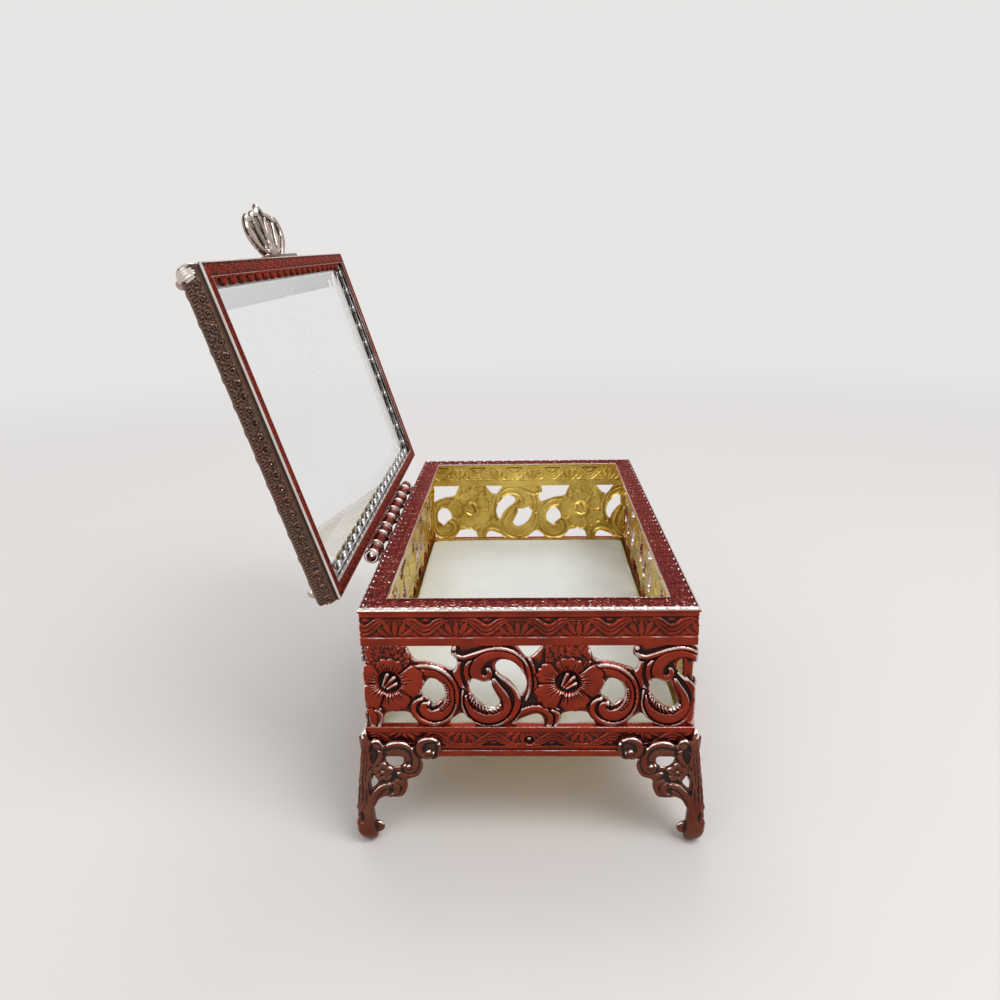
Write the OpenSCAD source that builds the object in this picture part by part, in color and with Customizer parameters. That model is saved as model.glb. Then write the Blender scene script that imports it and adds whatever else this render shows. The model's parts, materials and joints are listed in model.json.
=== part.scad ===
// Footed casket box with pierced metal walls, a bevelled glass lid on a knuckle hinge and a padded floor.
// The long axis is X, the pull side faces -Y, the hinge side faces +Y and the feet stand on z = 0.
// The origin is the centre of the footprint. The lid is drawn shut and then swung to its open stop.

/* [Box] */
// Length over the rim
box_l = 119; // [90:1:160]
// Width over the rim
box_w = 68; // [55:1:100]
// Height of the clear space under the box
stand_h = 19.7; // [15:0.1:30]
// Height of the lower rail
lower_h = 7; // [6:0.1:10]
// Height of the pierced panels
panel_h = 18.4; // [14:0.1:26]
// Height of the rim rail, with its flange
rim_h = 8.3; // [7:0.1:12]

/* [Rim] */
// Width of the flat flange round the mouth
flange_w = 5.4; // [4:0.1:7]
// Thickness of the flange
flange_t = 1; // [0.8:0.1:1.6]
// Thickness of the rim's upright band
band_t = 1; // [0.8:0.1:1.4]
// Set-back of the carved band from the rim's edge
band_inset = 0.7; // [0.5:0.05:1]
// Set-back of the smooth fillet from the rim's edge
fillet_inset = 0.25; // [0.1:0.05:0.4]
// Height of the smooth fillet under the carved band
fillet_h = 1.9; // [1:0.1:2.5]
// Bevel of the rim's outer edge
rim_round = 0.3; // [0.1:0.05:0.5]

/* [Panels] */
// Thickness of the pierced plate
panel_t = 1.2; // [0.8:0.1:1.6]
// Height of the raised ornament on the plate
ornament_t = 0.35; // [0.2:0.05:0.4]
// Length of one repeat of the ornament
repeat_w = 36.7; // [30:0.1:50]
// Solid margin at each end of a panel
panel_margin = 1.9; // [1.5:0.1:4]
// First flower's distance from the left corner, seen from outside: front, right, back, left
first_flower = [12.5, 16, 20, 5.3];
// Width of the raised scroll line
scroll_w = 1.4; // [0.8:0.1:2]
// Radius of a flower's petal
petal_r = 2.9; // [2:0.1:3.5]
// Distance of a petal from the flower's centre
petal_out = 3.9; // [3:0.1:4.5]
// Radius of the flower's cup
cup_r = 1.9; // [1.2:0.1:2.2]
// Number of petals
petals = 5; // [4:1:8]

/* [Base] */
// Set-back of the lower rail's fillets from the rim's edge
lower_inset = 0.1; // [0:0.05:0.3]
// Depth of the carved band in the lower rail
lower_recess = 0.4; // [0.2:0.05:0.6]
// Wall of the lower rail behind its carved band
lower_t = 1.4; // [1:0.1:2]
// Height of the lower rail's top fillet
lower_top_h = 1.3; // [0.8:0.1:2]
// Height of the lower rail's bottom fillet
lower_bottom_h = 1.5; // [0.8:0.1:2]
// Width of the ledge that carries the base pan
ledge_w = 2.1; // [1.5:0.1:4]
// Thickness of the ledge
ledge_t = 0.8; // [0.6:0.1:1.2]
// Thickness of the base pan's sheet
pan_t = 0.6; // [0.4:0.1:1]
// Height of the base pan's upturned edge
pan_h = 3.7; // [3.4:0.1:4.2]
// Clearance between the base pan and the rails
pan_clear = 0.1; // [0.05:0.05:0.3]
// Radius of a base rivet's shank
rivet_r = 0.6; // [0.4:0.05:0.7]
// Radius of the sink for a base rivet's outer head
rivet_sink_r = 1; // [0.9:0.05:1.2]
// Depth of the sink for a base rivet's outer head
rivet_sink_h = 0.6; // [0.3:0.1:0.8]
// Radius of a base rivet's inner head
rivet_head_r = 1; // [0.8:0.05:1.2]
// Thickness of a base rivet's inner head
rivet_head_h = 0.35; // [0.2:0.05:0.5]
// Rise of a base rivet's outer dome
rivet_dome = 0.35; // [0.1:0.05:0.5]
// Thickness of the pad
pad_h = 5.6; // [3:0.1:9]
// Gap between the pad and the base pan's edge
pad_gap = 0.5; // [0.45:0.05:1]
// Rounding of the pad's corners
pad_round = 2; // [1:0.1:4]

/* [Feet] */
// Reach of a foot bracket along each wall, from the rim's corner
foot_reach = 15.9; // [12:0.1:20]
// Rise of a foot bracket's corner tip above the lower rail's underside
foot_rise = 6.8; // [6:0.1:9]
// Thickness of a foot bracket
foot_t = 1.1; // [0.8:0.1:1.6]
// Radius of the curl on the inside of the toe
toe_curl_r = 1.4; // [1:0.1:1.8]
// Distance of the curl's middle from the rim's corner, along the wall
toe_curl_in = 1.2; // [0.8:0.1:1.6]
// Distance of the curl's middle outside the rim's edge
toe_curl_out = 0.9; // [0.5:0.1:1.2]

/* [Lid] */
// Thickness of the lid frame
lid_t = 5; // [4.6:0.1:6.5]
// Angle of the open lid, measured from shut
open_angle = 107.4; // [95:0.1:115]
// Gap between the shut lid and the rim
lid_gap = 0.15; // [0.1:0.05:0.3]
// Wall of the lid frame
lid_wall = 1.2; // [0.8:0.1:1.5]
// Width of the lid frame's under flange
lid_under_w = 3; // [2.2:0.1:3.5]
// Thickness of the lid frame's under flange
lid_under_t = 0.8; // [0.6:0.1:1]
// Width of the lid frame's top flange
lid_top_w = 4.8; // [4:0.1:6]
// Thickness of the lid frame's top flange
lid_top_t = 0.8; // [0.6:0.1:1]
// Bevel of the lid frame's edges
lid_bevel = 0.5; // [0.2:0.1:0.7]
// Radius of the corner bead
bead_r = 1.3; // [0.8:0.1:1.6]
// Height of the corner bead's centre above the lid frame
bead_lift = 0.5; // [0.2:0.1:0.8]
// Distance of the corner bead from the lid's edges
bead_in = 2.4; // [1.6:0.1:3]

/* [Glass] */
// Thickness of the glass at its edge
glass_t = 2.4; // [1.8:0.1:2.6]
// Rise of the glass over its bevel
glass_rise = 0.7; // [0.3:0.1:1]
// Width of the bevel
bevel_w = 4; // [2:0.1:8]
// Gap between the glass and the lid frame
glass_gap = 0.2; // [0.1:0.05:0.4]
// Thickness of the scalloped strip under the glass
scallop_t = 0.6; // [0.4:0.1:0.8]
// Distance between two scallops
scallop_pitch = 5.6; // [4:0.1:8]
// Radius of a scallop
scallop_r = 1.9; // [1:0.1:2]
// Width of the plain part of the scalloped strip
scallop_band = 2; // [1.2:0.1:2.5]

/* [Hinge] */
// Length of the hinge
hinge_l = 60; // [45:1:80]
// Distance of the hinge axis from the rim's edge
hinge_out = 2.1; // [2:0.05:2.6]
// Radius of the knuckles
knuckle_r = 1.5; // [1.3:0.05:1.6]
// Radius of the raised ring at the end of a knuckle
ring_r = 1.8; // [1.65:0.05:1.85]
// Width of the raised ring
ring_w = 0.8; // [0.4:0.1:1.2]
// Radius of the hinge pin
pin_r = 0.7; // [0.5:0.05:0.9]
// Running clearance round the hinge pin
pin_clear = 0.05; // [0.03:0.01:0.08]
// Radius of the pin's end balls
pin_ball_r = 1.2; // [1.1:0.05:1.5]
// Length of a lid knuckle
lid_knuckle_l = 8; // [6:0.1:10]
// Number of lid knuckles
lid_knuckles = 4; // [2:1:5]
// Gap between neighbouring knuckles
knuckle_gap = 0.15; // [0.1:0.05:0.3]
// Thickness of the hinge leaves
leaf_t = 0.5; // [0.4:0.05:0.7]
// Height of the box leaf below the barrel
box_leaf_h = 4.5; // [3:0.1:5.5]
// Clearance between a leaf's strip and the barrel
leaf_clear = 0.15; // [0.1:0.05:0.3]

/* [Pull] */
// Width of the pull
pull_w = 28; // [22:0.1:34]
// Reach of the pull from the lid's front face
pull_reach = 13.9; // [10:0.1:18]
// Thickness of the pull
pull_t = 1.6; // [1.2:0.1:2]
// Height of the pull's middle above the lid's underside
pull_z = 3.6; // [2.8:0.1:3.8]
// Length of the pull's foot plate
pull_plate_l = 23; // [16:0.1:30]
// Width of the pull's foot plate
pull_plate_w = 3.4; // [2.6:0.1:3.6]
// Thickness of the pull's foot plate
pull_plate_t = 0.9; // [0.6:0.1:1.2]
// Drop of the foot plate's middle below the pull's middle
pull_plate_drop = 0.9; // [0.5:0.1:1]
// Radius of the pull rivets' shank
pull_rivet_r = 0.5; // [0.4:0.05:0.6]
// Radius of the pull rivets' heads
pull_rivet_head_r = 0.95; // [0.8:0.05:1.1]
// Height of the pull rivets' heads
pull_rivet_head_h = 0.45; // [0.3:0.05:0.6]
// Distance between the pull rivets
pull_rivet_span = 19.4; // [16:0.1:21]

/* [Hidden] */
$fn = 48;

// Walls are numbered in turn: front, right, back, left.
front = 0;
right = 1;
back = 2;
left = 3;

// Heights up the wall
lower_z = stand_h;
panel_z = lower_z + lower_h;
rim_z = panel_z + panel_h;
top_z = rim_z + rim_h;
lid_z = top_z + lid_gap;
foot_h = stand_h + foot_rise;

// Depths into the wall
panel_in = band_inset;
lower_in = lower_inset + lower_recess + lower_t;
pan_in = lower_in + pan_clear;
pad_in = pan_in + pan_t + pad_gap;
pan_z = lower_z + ledge_t;
pad_z = pan_z + pan_t;
rivet_z = (lower_z + lower_bottom_h + panel_z - lower_top_h) / 2;

// The lid's glass lies against the top flange, and the scalloped strip holds it from below.
glass_top = lid_z + lid_t - lid_top_t;
glass_z = glass_top - glass_t;
glass_in = lid_wall + glass_gap;

// The hinge's axis and its knuckles, which alternate between the box and the lid
hinge_y = box_w / 2 + hinge_out;
hinge_z = top_z;
box_knuckles = lid_knuckles + 1;
box_knuckle_l = (hinge_l - lid_knuckles * lid_knuckle_l) / box_knuckles;
knuckle_pitch = lid_knuckle_l + box_knuckle_l;

// The ornament is drawn on a cell of this size and stretched to the panel.
cell_w = 36.7;
cell_h = 18.4;
flower_cell_z = 9.8;

// How far a cutter runs past what it cuts
over = 1;

// Openings of one repeat, from the flower's centre and the panel's foot
panel_openings = [
    [[4.3, 19.6], [4.8, 16.3], [5.8, 14.9], [8.7, 14.4], [12.2, 13.2], [13.6, 12.9], [14.2, 14.9],
     [13, 16.4], [12.7, 19.6]],
    [[8.6, 10.8], [10.3, 10.3], [11.5, 8.6], [11.5, 6.4], [10.3, 5.4], [9.3, 4.7], [8.2, 6],
     [6.8, 7.1], [7, 8.9], [7.7, 10]],
    [[-1.5, -1.2], [-1.5, 1.8], [-0.8, 2.8], [1, 3.2], [3.8, 3], [4.6, 1.9], [5.6, 0.6], [5.9, -1.2]],
    [[12.2, -1.2], [12.6, 1.1], [13.6, 2.1], [14.9, 2.8], [16.2, 1.9], [17.3, 1], [17.8, -1.2]],
    [[17.4, 10.9], [16.5, 8.8], [17.5, 6.5], [19.6, 4.5], [21.6, 4.1], [22.8, 5.4], [22, 7.2],
     [21.2, 9], [21, 10.3], [19.3, 10.3]],
    [[22, 13.9], [23.2, 15], [25.5, 14.5], [27.5, 12.3], [28.3, 10], [28, 8], [27, 6.8],
     [26.2, 8.6], [24.6, 10.5], [22.4, 12.2]],
    [[25.8, 19.6], [26.8, 17.4], [28.5, 15.4], [30.6, 16.8], [31.8, 19.6]],
    [[26.2, -1.2], [26.3, 0.9], [28.5, 2.1], [30.4, 2.6], [31.6, 1.6], [31.4, -1.2]]
];

// Middle lines of the raised scrolls of one repeat
panel_scrolls = [
    [[6.2, 12.4], [9, 12.7], [12.2, 11.3], [14, 8], [13.3, 4.2], [10.6, 1.8], [7.6, 1.8], [6, 3.8],
     [7.4, 5.4]],
    [[15.4, 16.1], [18.7, 16.9], [22.7, 16.9], [26.7, 15.4], [29, 12.2], [29.2, 8.6], [27.6, 5.2]],
    [[20, 13.4], [21.9, 11.2], [23.6, 7.8], [24.2, 4.6], [20.8, 2], [17.4, 2.9], [15.6, 5.6]]
];

// A foot bracket's outline and openings, drawn on a cell of this size from the rim's corner
bracket_w = 15.9;
bracket_h = 26.5;
bracket_outline = [
    [0, 24.9], [0.9, 24], [2, 24.5], [3.1, 24.1], [3.8, 23.1], [5.2, 23.8], [6.8, 24], [8.6, 23.6],
    [9.9, 22.5], [10.8, 24.1], [12.6, 25.1], [14.8, 24.7], [15.9, 22.4], [15.1, 20.2], [13.2, 19.5],
    [11.6, 19.7], [11.8, 17.8], [10.7, 15.7], [8.5, 14.8], [8.3, 12.8], [7.3, 10.8], [5.6, 10.3],
    [3.8, 11], [2.2, 10.2], [1.2, 8.6], [0, 8.2]
];
bracket_openings = [
    [[4, 21.5], [5.2, 22.2], [7.2, 22.3], [9, 21.4], [9.8, 19.6], [9.3, 18.6], [8.2, 19.4],
     [7, 18.2], [5.8, 18], [4.2, 19.6]],
    [[0.4, 13.1], [0.6, 14.8], [1.5, 15.8], [2.3, 14.6], [1.5, 13.4]]
];
// Height, outward flare and thickness of the leg at the corner, on the same cell
leg_steps = [
    [0, 1.4, 1.8], [0.5, 2, 2.8], [1.4, 2.5, 3.5], [3, 2.9, 4], [6, 3, 4], [9, 2.7, 3.7],
    [12, 2.3, 2.9], [15.5, 1.8, 2.4], [19.4, 1.1, 1.7]
];
leg_cell_h = 19.7;
leg_corner = 0.3;
toe_curl_z = 3.6;
bracket_foot = 8.2;
bracket_tip = 2;
tip_share = 0.3;
dome_share = 0.6;

// Half of the pull's outline and its openings, drawn on a cell of this size
pull_half_w = 14;
pull_cell_h = 13.9;
pull_outline = [
    [6, 0.5], [8.6, 2], [11.7, 3.8], [13.7, 6.1], [13.9, 8.4], [12.5, 10.4], [10.2, 11.2], [8.2, 10.9],
    [6.6, 11.7], [4.4, 12], [2.6, 11.8], [1.4, 12.8]
];
pull_openings = [
    [[6.4, 3.6], [9.2, 4.9], [11.4, 6.8], [11.5, 8.6], [10, 9.2], [8.4, 8], [7, 5.8]],
    [[1.9, 4.4], [3.8, 5.8], [5.4, 8.2], [5.8, 9.9], [4.6, 10.2], [3, 8.6], [1.7, 6.2]]
];

// One point of a smooth curve between b and c, with a and d as the points on either side
function curve_point(a, b, c, d, t) =
    b + (c - a) * t / 2 + (2 * a - 5 * b + 4 * c - d) * t * t / 2 + (3 * b - a - 3 * c + d) * t * t * t / 2;

// A closed smooth outline through the points, with steps points for each one
function closed_curve(p, steps = 2) =
    let (n = len(p))
    [for (i = [0:n - 1]) for (k = [0:steps - 1])
        curve_point(p[(i + n - 1) % n], p[i], p[(i + 1) % n], p[(i + 2) % n], k / steps)];

// An open smooth line through the points
function open_curve(p, steps = 2) =
    let (n = len(p))
    concat(
        [for (i = [0:n - 2]) for (k = [0:steps - 1])
            curve_point(p[max(i - 1, 0)], p[i], p[i + 1], p[min(i + 2, n - 1)], k / steps)],
        [p[n - 1]]);

// Unit vector across the line at point i
function across(p, i) =
    let (d = p[min(i + 1, len(p) - 1)] - p[max(i - 1, 0)])
    [-d[1], d[0]] / norm(d);

// Outline of a band of width w along the line
function ribbon(p, w) =
    let (n = len(p))
    concat(
        [for (i = [0:n - 1]) p[i] + across(p, i) * w / 2],
        [for (i = [n - 1:-1:0]) p[i] - across(p, i) * w / 2]);

function stretch(points, size, cell) = [for (q = points) [q[0] * size[0] / cell[0], q[1] * size[1] / cell[1]]];

function wall_length(wall) = wall % 2 == 0 ? box_l : box_w;
function wall_depth(wall) = wall % 2 == 0 ? box_w / 2 : box_l / 2;

// Local frame of a wall: x runs along it to the right as seen from outside, y runs inwards from the rim's edge
module on_wall(wall) {
    rotate([0, 0, 90 * wall]) translate([0, -wall_depth(wall), 0]) children();
}

// A rail of the given section, (depth, height), cut at 45 degrees at both corners
module mitred_rail(wall, section) {
    length = wall_length(wall);
    deep = 12;
    on_wall(wall) intersection() {
        translate([-length / 2 - over, 0, 0]) rotate([90, 0, 90])
            linear_extrude(length + 2 * over) polygon(section);
        linear_extrude(lid_z + lid_t + deep) polygon([
            [-length / 2 - over, -over], [length / 2 + over, -over],
            [length / 2 - deep, deep], [-length / 2 + deep, deep]
        ]);
    }
}

// The lid and all that is on it, from shut to the open stop
module swung_open() {
    translate([0, hinge_y, hinge_z]) rotate([-open_angle, 0, 0]) translate([0, -hinge_y, -hinge_z]) children();
}

module rim(wall) {
    color("#8a5a3c") mitred_rail(wall, [
        [0, top_z - rim_round], [rim_round, top_z], [flange_w, top_z], [flange_w, top_z - flange_t],
        [band_inset + band_t, top_z - flange_t], [band_inset + band_t, rim_z], [fillet_inset, rim_z],
        [fillet_inset, rim_z + fillet_h], [band_inset, rim_z + fillet_h], [band_inset, top_z - flange_t],
        [0, top_z - flange_t]
    ]);
}

// Openings of a panel, seen from outside, with x from the left corner
module openings_2d(wall) {
    length = wall_length(wall);
    start = first_flower[wall] % repeat_w - repeat_w;
    intersection() {
        translate([panel_margin, -over]) square([length - 2 * panel_margin, panel_h + 2 * over]);
        union() for (x = [start:repeat_w:length]) for (opening = panel_openings)
            translate([x, 0]) polygon(stretch(closed_curve(opening), [repeat_w, panel_h], [cell_w, cell_h]));
    }
}

// Raised flowers and scrolls of a panel
module ornament_2d(wall) {
    length = wall_length(wall);
    start = first_flower[wall] % repeat_w - repeat_w;
    flower_z = panel_h * flower_cell_z / cell_h;
    intersection() {
        translate([panel_margin, 0]) square([length - 2 * panel_margin, panel_h]);
        union() for (x = [start:repeat_w:length]) translate([x, 0]) {
            for (scroll = panel_scrolls)
                polygon(ribbon(stretch(open_curve(scroll), [repeat_w, panel_h], [cell_w, cell_h]), scroll_w));
            difference() {
                for (k = [0:petals - 1]) translate([0, flower_z]) rotate(90 + k * 360 / petals)
                    translate([petal_out, 0]) circle(r = petal_r);
                translate([0, flower_z]) circle(r = cup_r);
            }
        }
    }
}

module panel(wall) {
    length = wall_length(wall);
    color("#9c6a3f") intersection() {
        on_wall(wall) translate([-length / 2, 0, panel_z]) rotate([90, 0, 0]) {
            translate([0, 0, -panel_in - panel_t]) linear_extrude(panel_t) difference() {
                square([length, panel_h]);
                openings_2d(wall);
            }
            translate([0, 0, -panel_in]) linear_extrude(ornament_t) difference() {
                ornament_2d(wall);
                openings_2d(wall);
            }
        }
        mitred_rail(wall, [
            [0, panel_z], [panel_in + panel_t, panel_z],
            [panel_in + panel_t, panel_z + panel_h], [0, panel_z + panel_h]
        ]);
    }
}

module lower_rail(wall) {
    band_in = lower_inset + lower_recess;
    color("#8a5a3c") difference() {
        mitred_rail(wall, [
            [lower_inset, lower_z], [lower_in + ledge_w, lower_z], [lower_in + ledge_w, pan_z],
            [lower_in, pan_z], [lower_in, panel_z], [lower_inset, panel_z],
            [lower_inset, panel_z - lower_top_h], [band_in, panel_z - lower_top_h],
            [band_in, lower_z + lower_bottom_h], [lower_inset, lower_z + lower_bottom_h]
        ]);
        on_wall(wall) translate([0, 0, rivet_z]) rotate([-90, 0, 0]) {
            translate([0, 0, -over]) cylinder(r = rivet_sink_r, h = over + band_in + rivet_sink_h);
            cylinder(r = rivet_r, h = lower_in + over);
        }
    }
}

// The sheet under the pad, with an upturned edge that the rivets hold
module base_pan() {
    l = box_l - 2 * pan_in;
    w = box_w - 2 * pan_in;
    color("#a8843c") difference() {
        translate([-l / 2, -w / 2, pan_z]) cube([l, w, pan_h]);
        translate([-l / 2 + pan_t, -w / 2 + pan_t, pan_z + pan_t]) cube([l - 2 * pan_t, w - 2 * pan_t, pan_h]);
        for (wall = [0:3]) on_wall(wall) translate([0, 0, rivet_z]) rotate([-90, 0, 0])
            cylinder(r = rivet_r, h = pan_in + pan_t + over);
    }
}

module base_rivets() {
    start = lower_inset + lower_recess + rivet_sink_h;
    seat = pan_in + pan_t;
    color("#c9a878") for (wall = [0:3]) on_wall(wall) translate([0, 0, rivet_z]) rotate([-90, 0, 0]) {
        translate([0, 0, start]) cylinder(r = rivet_r, h = seat - start);
        translate([0, 0, start - rivet_dome]) cylinder(r1 = rivet_r * dome_share, r2 = rivet_r, h = rivet_dome);
        translate([0, 0, seat]) cylinder(r = rivet_head_r, h = rivet_head_h);
    }
}

module pad() {
    l = box_l - 2 * pad_in;
    w = box_w - 2 * pad_in;
    color("#e4ecec") translate([0, 0, pad_z]) linear_extrude(pad_h) union() {
        square([l - 2 * pad_round, w], center = true);
        square([l, w - 2 * pad_round], center = true);
        for (x = [-1, 1]) for (y = [-1, 1])
            translate([x * (l / 2 - pad_round), y * (w / 2 - pad_round)]) circle(r = pad_round);
    }
}

// One face of a foot bracket, with x from the rim's corner along the wall
module bracket_2d() {
    size = [foot_reach, foot_h];
    cell = [bracket_w, bracket_h];
    difference() {
        polygon(stretch(closed_curve(bracket_outline), size, cell));
        for (opening = bracket_openings) polygon(stretch(closed_curve(opening), size, cell));
        translate([lower_inset - foot_reach, -over]) square([foot_reach, foot_h + 2 * over]);
    }
}

// The leg at the corner, which swells into the toe
module leg() {
    k = stand_h / leg_cell_h;
    ring = [for (s = leg_steps) let (a = -s[1], b = s[2] - s[1], c = leg_corner * s[2], z = s[0] * k) [
        [a + c, a, z], [b - c, a, z], [b, a + c, z], [b, b - c, z],
        [b - c, b, z], [a + c, b, z], [a, b - c, z], [a, a + c, z]
    ]];
    levels = len(leg_steps);
    polyhedron(
        points = [for (r = ring) for (p = r) p],
        faces = concat(
            [[for (j = [0:7]) j]],
            [for (i = [0:levels - 2]) for (j = [0:7]) let (m = (j + 1) % 8)
                [8 * i + j, 8 * i + 8 + j, 8 * i + 8 + m, 8 * i + m]],
            [[for (j = [7:-1:0]) 8 * (levels - 1) + j]]));
}

// A foot at the corner of x < 0 and y < 0, with its own corner at the rim's corner
module foot_at_corner() {
    seat = lower_inset;
    tip_h = foot_h * bracket_tip / bracket_h;
    post_z = foot_h * bracket_foot / bracket_h;
    curl_z = stand_h * toe_curl_z / leg_cell_h;
    difference() {
        union() {
            translate([0, seat, 0]) rotate([90, 0, 0]) linear_extrude(foot_t) bracket_2d();
            mirror([1, -1, 0]) translate([0, seat, 0]) rotate([90, 0, 0]) linear_extrude(foot_t) bracket_2d();
            translate([seat, seat, post_z]) cylinder(r = foot_t, h = foot_h - tip_h - post_z);
            translate([seat, seat, foot_h - tip_h]) cylinder(r1 = foot_t, r2 = foot_t * tip_share, h = tip_h);
            leg();
            translate([toe_curl_in, -toe_curl_out, curl_z]) sphere(r = toe_curl_r);
            translate([-toe_curl_out, toe_curl_in, curl_z]) sphere(r = toe_curl_r);
        }
        translate([seat, seat, lower_z]) cube([foot_reach, foot_reach, foot_h]);
    }
}

// sx and sy are the signs of the corner that the foot stands at
module foot(sx, sy) {
    color("#7d6a5a") scale([-sx, -sy, 1]) translate([-box_l / 2, -box_w / 2, 0]) foot_at_corner();
}

// One knuckle from x to x + l, with a raised ring at its left end
module knuckle(x, l) {
    translate([x, hinge_y, hinge_z]) rotate([0, 90, 0]) {
        cylinder(r = knuckle_r, h = l);
        cylinder(r = ring_r, h = ring_w);
    }
}

module pin_bore() {
    translate([-hinge_l / 2 - over, hinge_y, hinge_z]) rotate([0, 90, 0])
        cylinder(r = pin_r + pin_clear, h = hinge_l + 2 * over);
}

// The part of a leaf that runs from a knuckle to the leaf's strip, on the rim's side of the barrel
module tongue(x, l, z0, z1) {
    translate([x, hinge_y - hinge_out, z0]) cube([l, leaf_t, z1 - z0]);
}

function box_knuckle_x(i) = -hinge_l / 2 + i * knuckle_pitch;
function lid_knuckle_x(i) = box_knuckle_x(i) + box_knuckle_l;

module hinge_leaf_box() {
    strip_top = hinge_z - ring_r - leaf_clear;
    color("#8f7355") difference() {
        union() {
            for (i = [0:box_knuckles - 1]) {
                x = box_knuckle_x(i) + (i == 0 ? 0 : knuckle_gap / 2);
                l = box_knuckle_l - (i == 0 || i == box_knuckles - 1 ? knuckle_gap / 2 : knuckle_gap);
                knuckle(x, l);
                tongue(x, l, strip_top - leaf_t, hinge_z - lid_gap);
                translate([x, hinge_y - hinge_out, hinge_z - knuckle_r]) cube([l, hinge_out, knuckle_r / 2]);
            }
            translate([-hinge_l / 2, hinge_y - hinge_out, strip_top - box_leaf_h])
                cube([hinge_l, leaf_t, box_leaf_h]);
        }
        pin_bore();
    }
}

module hinge_leaf_lid() {
    strip_z = hinge_z + ring_r + leaf_clear;
    strip_h = lid_z + lid_t - lid_bevel - strip_z;
    color("#8f7355") swung_open() difference() {
        union() {
            for (i = [0:lid_knuckles - 1]) {
                x = lid_knuckle_x(i) + knuckle_gap / 2;
                l = lid_knuckle_l - knuckle_gap;
                knuckle(x, l);
                tongue(x, l, lid_z, strip_z + leaf_t);
                translate([x, hinge_y - hinge_out, hinge_z + knuckle_r / 2]) cube([l, hinge_out, knuckle_r / 2]);
            }
            translate([-hinge_l / 2, hinge_y - hinge_out, strip_z]) cube([hinge_l, leaf_t, strip_h]);
        }
        pin_bore();
    }
}

module hinge_pin() {
    ball_out = pin_ball_r / 3;
    block = 4 * pin_ball_r;
    color("#9a8468") translate([0, hinge_y, hinge_z]) rotate([0, 90, 0]) {
        cylinder(r = pin_r, h = hinge_l, center = true);
        for (s = [-1, 1]) intersection() {
            translate([0, 0, s * (hinge_l / 2 + ball_out)]) sphere(r = pin_ball_r);
            translate([0, 0, s * (hinge_l + block) / 2]) cube(block, center = true);
        }
    }
}

module lid_rail(wall) {
    b = lid_bevel;
    color("#7a5a48") swung_open() difference() {
        mitred_rail(wall, [
            [0, lid_z + b], [b, lid_z], [lid_under_w, lid_z], [lid_under_w, lid_z + lid_under_t],
            [lid_wall, lid_z + lid_under_t], [lid_wall, glass_top], [lid_top_w, glass_top],
            [lid_top_w, lid_z + lid_t - b], [lid_top_w - b, lid_z + lid_t], [b, lid_z + lid_t],
            [0, lid_z + lid_t - b]
        ]);
        if (wall == front) pull_rivet_places() translate([0, 0, -lid_wall - over])
            cylinder(r = pull_rivet_r, h = lid_wall + 2 * over);
    }
}

// The strip of rounded teeth that holds the glass against the top flange
module scallops(wall) {
    length = wall_length(wall);
    run = length - 2 * (lid_wall + scallop_band + scallop_r);
    count = floor(run / scallop_pitch);
    color("#b9b6b0") swung_open() intersection() {
        on_wall(wall) translate([0, 0, glass_z - scallop_t]) linear_extrude(scallop_t) {
            translate([-length / 2, lid_wall]) square([length, scallop_band]);
            for (i = [0:count])
                translate([(i - count / 2) * scallop_pitch, lid_wall + scallop_band]) circle(r = scallop_r);
        }
        mitred_rail(wall, [
            [0, lid_z], [lid_wall + scallop_band + scallop_r, lid_z],
            [lid_wall + scallop_band + scallop_r, glass_z], [0, glass_z]
        ]);
    }
}

module glass_pane() {
    l = box_l - 2 * glass_in;
    w = box_w - 2 * glass_in;
    frame_l = box_l - 2 * (lid_top_w + glass_gap);
    frame_w = box_w - 2 * (lid_top_w + glass_gap);
    thin = 0.01;
    color("#dfe8ea", 0.35) swung_open() {
        translate([-l / 2, -w / 2, glass_z]) cube([l, w, glass_t]);
        hull() {
            translate([-frame_l / 2, -frame_w / 2, glass_top - thin]) cube([frame_l, frame_w, thin]);
            translate([-frame_l / 2 + bevel_w, -frame_w / 2 + bevel_w, glass_top])
                cube([frame_l - 2 * bevel_w, frame_w - 2 * bevel_w, glass_rise]);
        }
    }
}

module lid_beads() {
    z = lid_z + lid_t;
    color("#b59a72") swung_open() for (sx = [-1, 1]) for (sy = [-1, 1]) intersection() {
        translate([sx * (box_l / 2 - bead_in), sy * (box_w / 2 - bead_in), z + bead_lift]) sphere(r = bead_r);
        translate([-box_l / 2, -box_w / 2, z]) cube([box_l, box_w, 2 * bead_r]);
    }
}

// The pull's rivets stand on the lid's front face, with z outwards
module pull_rivet_places() {
    for (s = [-1, 1]) translate([s * pull_rivet_span / 2, -box_w / 2, lid_z + pull_z - pull_plate_drop])
        rotate([90, 0, 0]) children();
}

module pull() {
    size = [pull_w / 2, pull_reach];
    cell = [pull_half_w, pull_cell_h];
    half = stretch(open_curve(pull_outline, 3), size, cell);
    tip = [0, pull_reach];
    outline = concat(half, [tip], [for (i = [len(half) - 1:-1:0]) [-half[i][0], half[i][1]]]);
    color("#a9977c") swung_open() {
        translate([0, -box_w / 2, lid_z + pull_z - pull_t / 2]) mirror([0, 1, 0]) linear_extrude(pull_t)
            difference() {
                polygon(outline);
                for (s = [-1, 1]) for (opening = pull_openings)
                    scale([s, 1]) polygon(stretch(closed_curve(opening, 3), size, cell));
                translate([-pull_w, -over]) square([2 * pull_w, over + pull_plate_t]);
            }
        difference() {
            translate([0, -(box_w + pull_plate_t) / 2, lid_z + pull_z - pull_plate_drop])
                cube([pull_plate_l, pull_plate_t, pull_plate_w], center = true);
            pull_rivet_places() translate([0, 0, -over]) cylinder(r = pull_rivet_r, h = pull_plate_t + 2 * over);
        }
    }
}

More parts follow.
